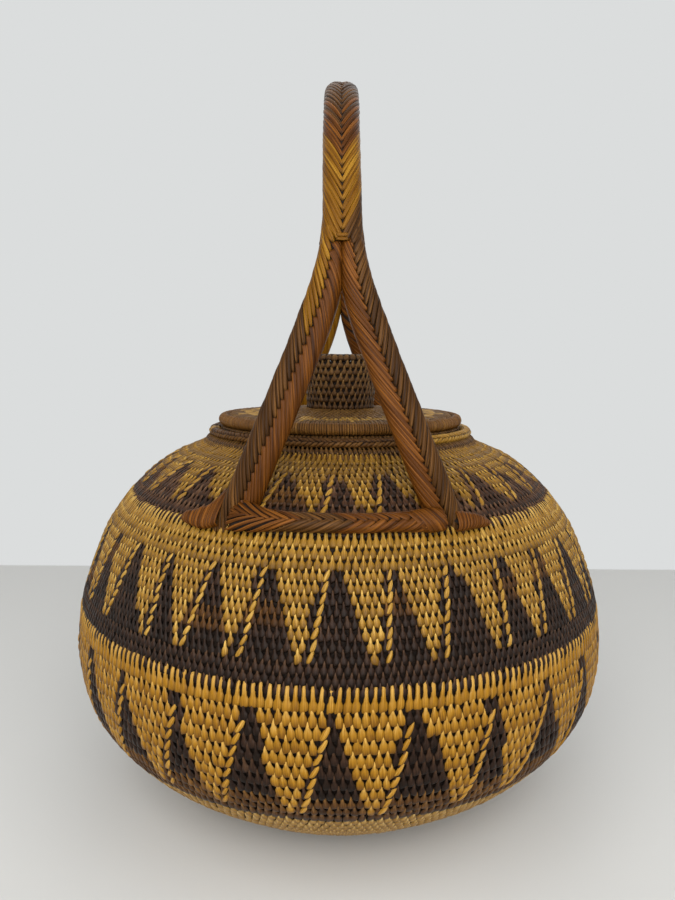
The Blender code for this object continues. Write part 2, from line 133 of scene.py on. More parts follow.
@dataclass(frozen=True)
class StrandFinish:
    """A split or scraped plant strand: streaked along its length, with painted shade where it dives
    under.

    The meshes carry three attributes: strand (millimetres across, millimetres along, a random
    phase), tone (0 dark to 1 light) and soil (1 where shade is painted, in the crevices). The ramp's
    colours stand at the stops, and the gloss range is laid round the mean roughness.
    """

    name: str
    shade: str
    body: str
    light: str
    painted_shade_colour: str
    roughness: float
    streak_mm: float = 0.35
    streak_length_mm: float = 9.0
    streak_share: float = 0.3
    relief_mm: float = 0.06
    specular: float = 0.15
    stops: tuple[float, float, float] = (0.18, 0.5, 0.8)
    streak_range: Pair = (0.3, 0.7)
    gloss_range: Pair = (-0.08, 0.12)

    def build(self) -> Material:
        """Make the node material of the finish.

        Returns:
            The material.
        """
        made, tree, shader = new_material(self.name)
        strand, tone, soil = (add_node(tree, "Attribute", attribute_name=name)
                              for name in ("strand", "tone", "soil"))
        grain = add_node(tree, "Mapping", {
            "Vector": strand.outputs["Vector"],
            "Scale": (1.0 / self.streak_mm, 1.0 / self.streak_length_mm, 1.0)})
        streak = add_node(tree, "TexNoise", {
            "Vector": grain.outputs["Vector"], "Scale": 1.0, "Detail": 2.0, "Roughness": 0.5})
        fibres = add_node(tree, "MapRange", {
            "Value": streak.outputs["Fac"], "From Min": self.streak_range[0],
            "From Max": self.streak_range[1]})
        mixed = add_node(tree, "Mix", {
            "Factor": self.streak_share, "A": tone.outputs["Fac"], "B": fibres.outputs["Result"]})
        colour = add_node(tree, "ValToRGB", {"Fac": mixed.outputs["Result"]})
        fill_ramp(colour.color_ramp, list(zip(self.stops, (self.shade, self.body, self.light))))
        # Painted shade: a dark colour mixed in where the strands meet and dive under
        shade_mix = add_node(tree, "Mix", {
            "Factor": soil.outputs["Fac"], "A": colour.outputs["Color"],
            "B": hex_to_linear(self.painted_shade_colour)}, data_type="RGBA")
        gloss = add_node(tree, "MapRange", {
            "Value": streak.outputs["Fac"], "To Min": self.roughness + self.gloss_range[0],
            "To Max": self.roughness + self.gloss_range[1]})
        bump = add_node(tree, "Bump", {
            "Height": streak.outputs["Fac"], "Strength": 0.6, "Distance": self.relief_mm * MM})
        tree.links.new(shade_mix.outputs["Result"], shader.inputs["Base Color"])
        tree.links.new(gloss.outputs["Result"], shader.inputs["Roughness"])
        tree.links.new(bump.outputs["Normal"], shader.inputs["Normal"])
        shader.inputs["Specular IOR Level"].default_value = self.specular
        return made


@dataclass(frozen=True)
class CaneFinish(StrandFinish):
    """Split cane: the same with broad, long and clear fibres."""

    streak_mm: float = 0.7
    streak_length_mm: float = 30.0
    streak_share: float = 0.5
    relief_mm: float = 0.10
    specular: float = 0.08


@dataclass(frozen=True)
class BundleFinish:
    """Plant matter without a strand's marks: flecked between two colours, rough and dull."""

    name: str
    deep: str
    shade: str
    fleck_mm: float = 1.2
    relief_mm: float = 0.2
    roughness: float = 0.85
    specular: float = 0.2

    def build(self) -> Material:
        """Make the node material of the finish.

        Returns:
            The material.
        """
        made, tree, shader = new_material(self.name)
        place = add_node(tree, "TexCoord")
        fleck = add_node(tree, "TexNoise", {
            "Vector": place.outputs["Object"], "Scale": 1.0 / (self.fleck_mm * MM), "Detail": 3.0})
        colour = add_node(tree, "ValToRGB", {"Fac": fleck.outputs["Fac"]})
        fill_ramp(colour.color_ramp, [(0.3, self.deep), (0.7, self.shade)])
        bump = add_node(tree, "Bump", {
            "Height": fleck.outputs["Fac"], "Strength": 0.5, "Distance": self.relief_mm * MM})
        tree.links.new(colour.outputs["Color"], shader.inputs["Base Color"])
        tree.links.new(bump.outputs["Normal"], shader.inputs["Normal"])
        shader.inputs["Roughness"].default_value = self.roughness
        shader.inputs["Specular IOR Level"].default_value = self.specular
        return made


class Finish(Enum):
    """The finishes of the basket; each member's value describes one."""

    # Split vine with its skin on, undyed: warm straw with a soft shine on the outer curve
    STRAW = StrandFinish("split_vine_undyed", "#60420C", "#8D661E", "#C09A4C", "#2E1B06", 0.38)
    # The same from another harvest, more orange, in the lower wall
    AMBER = StrandFinish("split_vine_undyed_amber", "#664104", "#926612", "#B88E42", "#2E1B04", 0.38)
    # The same vine where it met the ground: drier and paler
    PALE = StrandFinish("split_vine_weathered", "#715020", "#906D33", "#B29257", "#352612", 0.52)
    # Mud-dyed vine: brown-black, with the skin's shine
    DARK = StrandFinish("split_vine_mud_dyed", "#150C06", "#281910", "#46301F", "#080503", 0.38,
                        specular=0.10)
    # The same on the shoulder, where daylight has turned it browner
    DARK_FADED = StrandFinish("split_vine_mud_dyed_faded", "#1E120A", "#40291A", "#664A34", "#0A0603",
                              0.42, specular=0.10)
    # Vine dyed a lighter brown
    BROWN = StrandFinish("split_vine_brown", "#291808", "#4A2E11", "#724F24", "#140A04", 0.42,
                         specular=0.10)
    # Vine dyed brown that daylight has faded to grey-brown
    FADED = StrandFinish("split_vine_faded_brown", "#2E1B08", "#543818", "#7C5C30", "#0E0804", 0.45,
                         specular=0.12)
    # The same, kept warmer where hands touch it
    FADED_WARM = StrandFinish("split_vine_faded_warm", "#38240C", "#623F18", "#86602A", "#180F08", 0.42,
                              specular=0.12)
    # Aged split cane on the handle: red-brown, with clear fibres and a waxy shine from hands
    RED_CANE = CaneFinish("split_cane_aged_red", "#2A1302", "#4F2B08", "#764717", "#120802", 0.36)
    # Aged split cane that has darkened
    GREY_CANE = CaneFinish("split_cane_aged_dark", "#201103", "#3C240B", "#62411D", "#100803", 0.38)
    # Split cane with its yellow skin on
    GOLD_CANE = CaneFinish("split_cane_yellow", "#462802", "#6A4409", "#91691F", "#1C1104", 0.34,
                           streak_share=0.45, relief_mm=0.08)
    # The inside of the coils: every strand's other face, brown and straw by turns
    LINING = StrandFinish("split_vine_inside", "#2C1A09", "#66481F", "#A98544", "#120A04", 0.5,
                          streak_mm=2.3, streak_length_mm=5.2, streak_share=0.85, relief_mm=0.5,
                          specular=0.10)
    # Coil bundle, painted near-black as the shade in the gaps between stitches and strips
    CORE = BundleFinish("coil_bundle", "#0B0705", "#21150C")
    # Peeled cane inside the bindings: dry and tan
    BARE_CANE = BundleFinish("peeled_cane", "#8A6A38", "#B99458", fleck_mm=1.6)


BAKE_MAP = "OFBake"


@cache
def material_of(finish: Finish) -> Material:
    """The one material of a finish, made on its first use."""
    return finish.value.build()


def grid_quads(rows: int, columns: int, closed_rows: bool = False,
               closed_columns: bool = False) -> Array:
    """Vertex numbers of the quads of a grid, row by row.

    Args:
        rows: Points along the grid.
        columns: Points across it.
        closed_rows: Whether the last row joins the first.
        closed_columns: Whether the last column joins the first.

    Returns:
        Array of quads, four vertex numbers each.
    """
    i = np.arange(rows if closed_rows else rows - 1)[:, None]
    j = np.arange(columns if closed_columns else columns - 1)[None, :]
    below, right = (i + 1) % rows, (j + 1) % columns
    corners = (i * columns + j, i * columns + right, below * columns + right, below * columns + j)
    return np.stack([np.broadcast_to(c, np.broadcast_shapes(i.shape, j.shape)) for c in corners],
                    -1).reshape(-1, 4)


def mesh_object(name: str, points: Array, quads: Array, corner_map: Array) -> Object:
    """Make a smooth mesh object with its own bake map.

    Args:
        name: Name of the object.
        points: Vertex places, one row each.
        quads: Vertex numbers of each face.
        corner_map: Bake map place of each face corner.

    Returns:
        The object, linked to the scene.
    """
    mesh = bpy.data.meshes.new(name)
    mesh.vertices.add(len(points))
    mesh.vertices.foreach_set("co", np.ascontiguousarray(points, np.float32).ravel())
    mesh.loops.add(quads.size)
    mesh.loops.foreach_set("vertex_index", np.ascontiguousarray(quads, np.int32).ravel())
    mesh.polygons.add(len(quads))
    mesh.polygons.foreach_set("loop_start", np.arange(0, quads.size, 4, dtype=np.int32))
    mesh.update(calc_edges=True)
    layer = mesh.uv_layers.new(name=BAKE_MAP)
    layer.uv.foreach_set("vector", np.ascontiguousarray(corner_map, np.float32).ravel())
    mesh.shade_smooth()
    item = bpy.data.objects.new(name, mesh)
    bpy.context.scene.collection.objects.link(item)
    return item


def write_marks(item: Object, strand: Array, tone: Array, soil: Array) -> None:
    """Give a mesh the attributes that a strand finish reads; the arrays go point by point.

    Args:
        item: The mesh object.
        strand: Millimetres across and along the strand, and its random phase.
        tone: Lightness.
        soil: Share of painted shade in the crevices.
    """
    for key, kind, slot, values in (("strand", "FLOAT_VECTOR", "vector", strand),
                                    ("tone", "FLOAT", "value", tone), ("soil", "FLOAT", "value", soil)):
        item.data.attributes.new(key, kind, "POINT").data.foreach_set(
            slot, np.ascontiguousarray(values, np.float32).ravel())


def dress(item: Object, finish: Finish, body: str, *nodes: str) -> None:
    """Give a piece its finish and its place in the frame.

    Args:
        item: The piece.
        finish: Its finish.
        body: CAD body that it rides on.
        nodes: CAD nodes that it stands for.
    """
    item.data.materials.append(material_of(finish))
    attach(item, body)
    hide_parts(*nodes)
    LOG.info("%s: %d faces on %s", item.name, len(item.data.polygons), body)


# Free edge of a strand's cell in the bake map, and the range of the strands' random phases
CELL_MARGIN, MOST_PHASE = 0.06, 90.0


@dataclass
class Strands:
    """Many strands of one kind: their points, and what their finish reads.

    Attributes:
        points: Places, (strand, along, across, 3).
        local: Millimetres across and along each strand, (strand, along, across, 2).
        tone: Lightness, 0 to 1, (strand, along, across).
        soil: Share of painted shade in the crevices, (strand, along, across).
    """

    points: Array
    local: Array
    tone: Array
    soil: Array

    def pick(self, chosen: Array) -> "Strands":
        """The strands that a mask chooses."""
        return Strands(self.points[chosen], self.local[chosen], self.tone[chosen], self.soil[chosen])

    @staticmethod
    def join(groups: list["Strands"]) -> "Strands":
        """All strands of several groups of one shape."""
        return Strands(*(np.concatenate([getattr(group, key) for group in groups])
                         for key in ("points", "local", "tone", "soil")))

    def parts(self, most: int = 2200) -> list["Strands"]:
        """The strands in even lots, each of at most the given number. The strands in
        lots of a size that one piece can hold.
        """
        lots = math.ceil(len(self.tone) / most)
        return [self.pick(lot) for lot in np.array_split(np.arange(len(self.tone)), lots)]

    def object(self, name: str) -> Object:
        """Make one mesh object of all strands, each in a cell of the bake map.

        Args:
            name: Name of the object.

        Returns:
            The object with its strand, tone and soil attributes.
        """
        count, along, across = self.points.shape[:3]
        quads = grid_quads(along, across)[:, ::-1]
        faces = (quads[None] + (np.arange(count) * along * across)[:, None, None]).reshape(-1, 4)
        size = np.ptp(self.local.reshape(-1, along * across, 2), axis=1).mean(0)
        columns = max(1, min(count, round(math.sqrt(count * size[1] / size[0]))))
        lines = math.ceil(count / columns)
        sides = [CELL_MARGIN + (1 - 2 * CELL_MARGIN) * np.arange(points) / (points - 1)
                 for points in (across, along)]
        cell = np.stack(np.meshgrid(*sides), -1).reshape(-1, 2)
        home = np.stack([np.arange(count) % columns, np.arange(count) // columns], -1)
        places = ((home[:, None] + cell[None]) / (columns, lines)).reshape(-1, 2)
        item = mesh_object(name, self.points.reshape(-1, 3), faces, places[faces.ravel()])
        phase = np.random.default_rng(SEED).uniform(0.0, MOST_PHASE, count)[:, None, None, None]
        phase = np.broadcast_to(phase, (count, along, across, 1))
        write_marks(item, np.concatenate([self.local, phase], -1), self.tone, self.soil)
        return item


@dataclass(frozen=True)
class StitchForm:
    """Shape of one stitch in its row: v runs down the row, 0 at its top edge and 1 at the next.

    Each station has a half width in shares of the stitch pitch, a lift of the crest in millimetres and
    a share of painted shade in the crevices. The crown is the drop of the sides under the crest, in
    millimetres, and drop says how much of it each place across has. Each row of length makes the strand
    darker by the fall, which paints shade towards the lower end and a highlight at the upper point. One
    side of the lower end hangs below the other by the skew, in rows.
    """

    stations: tuple[float, ...]
    widths: tuple[float, ...]
    lifts: tuple[float, ...]
    painted_shades: tuple[float, ...]
    crown: float = 1.1
    fall: float = 0.0
    skew: float = 0.0
    across: tuple[float, ...] = (-1.0, -0.70, 0.0, 0.70, 1.0)
    drop: tuple[float, ...] = (1.0, 0.14, 0.0, 0.14, 1.0)


# A coiled stitch: its point rises between two bulbs of the row above, and its own bulb touches its
# neighbours, with a dark hole under it
STITCH = StitchForm(
    stations=(-0.26, -0.14, 0.02, 0.17, 0.29, 0.37, 0.46, 0.62, 0.86, 1.02, 1.11, 1.17),
    widths=(0.06, 0.13, 0.18, 0.21, 0.24, 0.32, 0.44, 0.50, 0.51, 0.48, 0.40, 0.28),
    lifts=(0.10, 0.40, 0.52, 0.50, 0.48, 0.50, 0.54, 0.60, 0.64, 0.56, 0.32, -0.7),
    painted_shades=(0.10, 0.00, 0.00, 0.04, 0.10, 0.08, 0.04, 0.00, 0.06, 0.20, 0.45, 1.0),
    crown=0.60, fall=0.80, skew=0.06,
)
# A broad one with a blunt lower end, as the lower wall is sewn
BLUNT_STITCH = replace(
    STITCH,
    widths=(0.06, 0.14, 0.20, 0.24, 0.29, 0.37, 0.46, 0.50, 0.515, 0.51, 0.475, 0.39),
    lifts=(0.10, 0.40, 0.52, 0.50, 0.48, 0.50, 0.54, 0.60, 0.64, 0.60, 0.40, -0.7),
    painted_shades=(0.10, 0.00, 0.00, 0.04, 0.10, 0.08, 0.04, 0.00, 0.06, 0.18, 0.40, 1.0),
    crown=0.55, skew=0.08,
)
# One with a longer shank, so that the holes are tall, as the dark strands are sewn
LONG_STITCH = replace(
    STITCH,
    stations=(-0.26, -0.14, 0.02, 0.17, 0.34, 0.48, 0.57, 0.66, 0.88, 1.02, 1.11, 1.17),
    widths=(0.06, 0.13, 0.18, 0.20, 0.23, 0.30, 0.42, 0.49, 0.50, 0.47, 0.40, 0.28),
    lifts=(0.10, 0.38, 0.50, 0.50, 0.48, 0.48, 0.52, 0.58, 0.62, 0.56, 0.34, -0.7),
    painted_shades=(0.20, 0.05, 0.00, 0.04, 0.10, 0.08, 0.04, 0.00, 0.04, 0.14, 0.40, 1.0),
    fall=0.55,
)
# A stitch in the first row of a band, where it stands over the row above
FINGER = StitchForm(
    stations=(-0.80, -0.68, -0.44, -0.10, 0.18, 0.33, 0.42, 0.54, 0.84, 1.02, 1.11, 1.17),
    widths=(0.10, 0.19, 0.25, 0.27, 0.28, 0.31, 0.40, 0.49, 0.51, 0.50, 0.45, 0.34),
    lifts=(-0.4, 0.40, 0.76, 0.82, 0.74, 0.66, 0.62, 0.62, 0.62, 0.56, 0.34, -0.7),
    painted_shades=(0.6, 0.20, 0.06, 0.04, 0.06, 0.06, 0.03, 0.00, 0.04, 0.14, 0.40, 1.0),
    crown=0.60, fall=0.35, skew=0.06,
)
# A slanted stitch of a cord line: a leaf with a sharp upper end, one to a row
ROPE = StitchForm(
    stations=(-0.16, -0.06, 0.06, 0.20, 0.36, 0.52, 0.68, 0.82, 0.92, 1.00, 1.06, 1.10),
    widths=(0.03, 0.11, 0.20, 0.29, 0.36, 0.39, 0.40, 0.38, 0.34, 0.28, 0.20, 0.10),
    lifts=(0.05, 0.40, 0.62, 0.78, 0.90, 0.96, 0.96, 0.90, 0.78, 0.55, 0.1, -0.7),
    painted_shades=(0.4, 0.15, 0.06, 0.03, 0.0, 0.0, 0.0, 0.03, 0.10, 0.25, 0.6, 1.0),
    crown=0.80, fall=0.25,
)
# A wrap of even width that lies straight over its core
WRAP = StitchForm(
    stations=(-0.10, 0.0, 0.10, 0.30, 0.50, 0.70, 0.90, 1.0, 1.10),
    widths=(0.26, 0.38, 0.45, 0.48, 0.49, 0.48, 0.45, 0.38, 0.26),
    lifts=(-0.9, -0.15, 0.15, 0.32, 0.38, 0.32, 0.15, -0.15, -0.9),
    painted_shades=(1.0, 0.6, 0.25, 0.04, 0.0, 0.04, 0.25, 0.6, 1.0),
    crown=0.7,
)
# A wrap round most of a rim
RIM_WRAP = StitchForm(
    stations=tuple(k / 15 for k in range(16)),
    widths=(0.46,) * 16,
    lifts=(-0.2,) + (0.0,) * 14 + (-0.2,),
    painted_shades=(1.0, 0.8, 0.6, 0.4, 0.2) + (0.0,) * 8 + (0.2, 0.4, 0.8),
    crown=0.45,
)
# A flat stroke of a braid
STROKE = StitchForm(
    stations=(-0.12, 0.0, 0.12, 0.30, 0.50, 0.70, 0.88, 1.0, 1.12),
    widths=(0.20, 0.34, 0.44, 0.48, 0.50, 0.50, 0.46, 0.36, 0.22),
    lifts=(-0.7, -0.10, 0.10, 0.20, 0.26, 0.26, 0.16, -0.05, -0.7),
    painted_shades=(1.0, 0.5, 0.15, 0.02, 0.0, 0.0, 0.10, 0.5, 1.0),
    crown=0.42, fall=0.3,
)
# A fine stitch of the lid's rows
FINE = StitchForm(
    stations=(-0.20, -0.05, 0.15, 0.40, 0.65, 0.90, 1.12, 1.28, 1.38),
    widths=(0.14, 0.28, 0.35, 0.39, 0.43, 0.47, 0.46, 0.34, 0.14),
    lifts=(-0.8, -0.05, 0.18, 0.26, 0.32, 0.38, 0.26, 0.0, -0.7),
    painted_shades=(1.0, 0.6, 0.3, 0.12, 0.04, 0.0, 0.06, 0.4, 0.95),
    crown=0.6,
)


class TurnedSurface:
    """A surface of revolution given by its outline, unrolled into length, turn and lift."""

    def __init__(self, outline: Array) -> None:
        """Measure the outline.

        Args:
            outline: (radius, height) points; the surface looks to the right of their run
                when the run goes up, so the outer side of a wall runs upwards.
        """
        steps = np.linalg.norm(np.diff(outline, axis=0), axis=1)
        self.lengths = np.concatenate([[0.0], np.cumsum(steps)])
        self.outline = outline
        run = np.gradient(outline, axis=0)
        run /= np.linalg.norm(run, axis=1)[:, None]
        self.normals = np.stack([run[:, 1], -run[:, 0]], -1)

    @property
    def total(self) -> float:
        """Length of the whole outline."""
        return float(self.lengths[-1])

    def radius(self, length: Array | float) -> Array:
        """Radius at a length along the outline."""
        return np.interp(length, self.lengths, self.outline[:, 0])

    def place(self, length: Array, turn: Array, lift: Array) -> Array:
        """World places of points on or over the surface.

        Args:
            length: Length along the outline.
            turn: Angle from the front, in radians, rising towards +X.
            lift: Height over the surface.

        Returns:
            Array of places with a last axis of three.
        """
        inside = np.clip(length, 0.0, self.total)
        spare = length - inside
        flat = [np.interp(inside, self.lengths, values) for values in (
            self.outline[:, 0], self.outline[:, 1], self.normals[:, 0], self.normals[:, 1])]
        radius = flat[0] + flat[2] * lift - flat[3] * spare
        height = flat[1] + flat[3] * lift + flat[2] * spare
        return np.stack([radius * np.sin(turn), -radius * np.cos(turn), height], -1)


@dataclass(frozen=True)
class Row:
    """One row of stitches.

    The top is the length on the surface at its upper edge, the height its width along the surface, the
    count its stitches in the round, and the offset the turn of the first one, in stitches.
    """

    top: float
    height: float
    count: int
    offset: float


def laid_rows(top: float, step: float, stitches: int, rows: int) -> list[Row]:
    """Lay rows of one stitch count, each half a stitch on from the last.

    Args:
        top: Length on the surface at the first row's top edge.
        step: Way from one row to the next, below 0 where they run back along the surface.
        stitches: Stitches in the round.
        rows: Rows to lay.

    Returns:
        The rows.
    """
    return [Row(top + k * step, abs(step), stitches, 0.5 * (k % 2)) for k in range(rows)]


def spaced_rows(surface: TurnedSurface, top: float, step: float, pitch: float, rows: int,
                least: int = 8) -> list[Row]:
    """Lay rows whose stitches keep one width, so that each row has what its radius takes.

    Args:
        surface: What the rows lie on.
        top: Length on the surface at the first row's top edge.
        step: Way from one row to the next.
        pitch: Width of a stitch.
        rows: Rows to lay.
        least: Fewest stitches of a row.

    Returns:
        The rows.
    """
    made = []
    for row in laid_rows(top, step, least, rows):
        around = math.tau * float(surface.radius(row.top - 0.5 * row.height))
        made.append(replace(row, count=max(least, round(around / pitch))))
    return made


# Spread of a hand-sewn stitch: width as a share, place in stitches, slip in rows, height in
# millimetres and lean in stitches
HANDWORK = (0.06, 0.045, 0.035, 0.07, 0.05)
# Mean and spread of the skew of a stitch's lower end
SKEWS = (-0.8, 1.0)
# Painted shade along a stitch's edges, where it meets its neighbours, and how closely it keeps to them
EDGE_PAINTED_SHADE, EDGE_POWER = 0.5, 4
# Place in the row where a stitch has its own mean lightness; by the fall it is painted lighter above,
# as a painted highlight, and darker below, as painted shade
TONE_PLACE = 0.45


def sew(surface: TurnedSurface, row: Row, form: StitchForm, rng: np.random.Generator,
        which: Array | None = None, lean: float = 0.0, wobble: float = 1.0,
        tone: float = 0.5, spread: float = 0.07) -> Strands:
    """Sew a row, or chosen stitches of it.

    Args:
        surface: What the row lies on.
        row: The row.
        form: Shape of the stitches.
        rng: Random source.
        which: Numbers of the stitches in the round, or places between them; without it, all.
        lean: Sideways run of each stitch over one row, in stitches.
        wobble: Size of the irregularities, 1 for hand work.
        tone: Mean lightness.
        spread: Spread of the lightness.

    Returns:
        The stitches.
    """
    which = np.arange(row.count) if which is None else which
    count = len(which)
    pitch = math.tau / row.count
    stations = np.array(form.stations)[None, :, None]
    across = np.array(form.across)[None, None, :]
    wider, shift, slip, rise, tilt = (
        (wobble * rng.normal(0.0, size, count))[:, None, None] for size in HANDWORK)
    middle = 0.5 * (form.stations[0] + form.stations[-1])
    half = np.array(form.widths)[None, :, None] * (1.0 + wider)
    sideways = across * half + (lean + tilt) * (stations - middle)
    turn = (which[:, None, None] + row.offset + shift + sideways) * pitch
    hang = form.skew * rng.normal(*SKEWS, count)[:, None, None] * across
    length = row.top - (stations + slip + hang * np.clip(stations, 0.0, 1.0) ** 2) * row.height
    lift = np.array(form.lifts)[None, :, None] + rise - form.crown * np.array(form.drop)[None, None, :]
    turn, length, lift = np.broadcast_arrays(turn, length, lift)
    points = surface.place(length, turn, lift * MM)
    stitch_mm = float(surface.radius(row.top - 0.5 * row.height)) * pitch / MM
    local = np.stack(np.broadcast_arrays(across * half * stitch_mm, stations * row.height / MM), -1)
    # Painted shade at the stitch's edges and lower end; the fall paints shade down the stitch and a
    # highlight at its point
    soil = np.array(form.painted_shades)[None, :, None] + EDGE_PAINTED_SHADE * np.abs(across) ** EDGE_POWER
    tones = rng.normal(tone, spread, count)[:, None, None] + form.fall * (TONE_PLACE - stations)
    tones, soil = (np.clip(np.broadcast_to(value, turn.shape), 0.0, 1.0) for value in (tones, soil))
    return Strands(points, local, tones, soil)


def lattice_object(name: str, points: Array, closed_rows: bool) -> Object:
    """Make one smooth body from rings of points, each ring closed, with its faces outward.

    Args:
        name: Name of the object.
        points: Places, (ring, point, 3).
        closed_rows: Whether the last ring joins the first.

    Returns:
        The object.
    """
    rows, columns = points.shape[:2]
    quads = grid_quads(rows, columns, closed_rows, True)
    spans = rows if closed_rows else rows - 1
    i = np.repeat(np.arange(spans), columns)[:, None] + np.array([0, 0, 1, 1])
    j = np.tile(np.arange(columns), spans)[:, None] + np.array([0, 1, 1, 0])
    corner_map = np.stack([j / columns, i / spans], -1)
    flat = points.reshape(-1, 3)
    a, b, c, d = (flat[quads[:, k]] for k in range(4))
    volume = (a * (np.cross(b, c) + np.cross(c, d))).sum()
    if volume < 0.0:
        quads, corner_map = quads[:, ::-1], corner_map[:, ::-1]
    return mesh_object(name, flat, quads, corner_map)


def mark_strands(item: Object, points: Array, along: Array, soil: Array) -> None:
    """Give a body of rings round the axis what a strand finish reads, with the strands across it.

    Args:
        item: Body made of the points.
        points: Places, (ring, point, 3).
        along: Length along the strands at each ring.
        soil: Share of painted shade at each ring.
    """
    shape = points.shape[:2]
    turn = np.abs(np.arctan2(points[..., 0], -points[..., 1]))
    across = turn * np.hypot(points[..., 0], points[..., 1]) / MM
    strand = np.stack(np.broadcast_arrays(across, along[:, None] / MM, 0.0), -1)
    write_marks(item, strand, np.full(shape, 0.5), np.broadcast_to(soil[:, None], shape))


def smooth_curve(knots: Array, samples: int) -> Array:
    """Points on a Catmull-Rom curve through the knots.

    Args:
        knots: Points that the curve passes through.
        samples: Points made between each two knots.

    Returns:
        Points along the curve, both ends kept.
    """
    chain = np.vstack([2 * knots[0] - knots[1], knots, 2 * knots[-1] - knots[-2]])
    t = (np.arange(samples) / samples)[:, None]
    made = []
    for a, b, c, d in zip(chain, chain[1:], chain[2:], chain[3:]):
        made.append(0.5 * (2 * b + (c - a) * t + (2 * a - 5 * b + 4 * c - d) * t ** 2
                           + (3 * b - a - 3 * c + d) * t ** 3))
    return np.vstack([*made, knots[-1:]])


class Pattern(Enum):
    """What a band of rows shows."""

    PLAIN = "plain"
    TRIANGLES = "triangles"


@dataclass(frozen=True)
class Band:
    """A band of rows between two heights.

    Its edges are shares of the body's height, and its count is the stitches in the round. A triangle's
    tip lies at a share of its width. The cord line starts a gap beside the right edge, has drifted away
    from it at the tip, and leans over each row, all in stitches. The brown share is that of the dark
    gaps with rows of browner strands.
    """

    node: str
    low: float
    high: float
    rows: int
    count: int
    finish: Finish
    pattern: Pattern = Pattern.PLAIN
    repeats: int = 0
    top_stitches: float = 6.3
    tip_shares: Pair = (0.5, 0.85)
    rope_gap: float = 0.95
    rope_drift: float = 0.35
    rope_lean: float = -0.62
    brown_share: float = 0.15
    undyed: Finish = Finish.STRAW
    tone: float = 0.5
    stitch: StitchForm = STITCH
    first_cord: int = 0
    brown_rows: int = 0


BANDS = (
    Band("base_coil", 0.0, 0.248, 16, 230, Finish.PALE),
    Band("lower_wall", 0.248, 0.276, 1, 250, Finish.BROWN),
    Band("lower_wall", 0.276, 0.5304, 9, 260, Finish.DARK, Pattern.TRIANGLES,
         repeats=27, top_stitches=8.0, tip_shares=(0.4, 0.7), rope_gap=0.85, rope_drift=0.0,
         rope_lean=-0.86, brown_share=0.0, undyed=Finish.AMBER, stitch=BLUNT_STITCH, first_cord=1,
         brown_rows=2),
    Band("lower_wall", 0.5304, 0.5595, 1, 260, Finish.AMBER),
    Band("waist_wall", 0.5595, 0.6232, 3, 284, Finish.DARK),
    Band("waist_wall", 0.6232, 0.798, 8, 288, Finish.DARK, Pattern.TRIANGLES,
         repeats=32, brown_share=0.6),
    Band("shoulder_wall", 0.798, 0.8595, 3, 250, Finish.STRAW),
    Band("shoulder_wall", 0.8595, 0.8967, 2, 224, Finish.DARK_FADED),
    Band("shoulder_wall", 0.8967, 0.97, 5, 220, Finish.DARK_FADED,
         Pattern.TRIANGLES, repeats=27, top_stitches=6.0, tip_shares=(0.6, 0.9), brown_share=0.3,
         tone=0.42),
    Band("shoulder_wall", 0.97, 1.0, 3, 196, Finish.STRAW, tone=0.3),
)


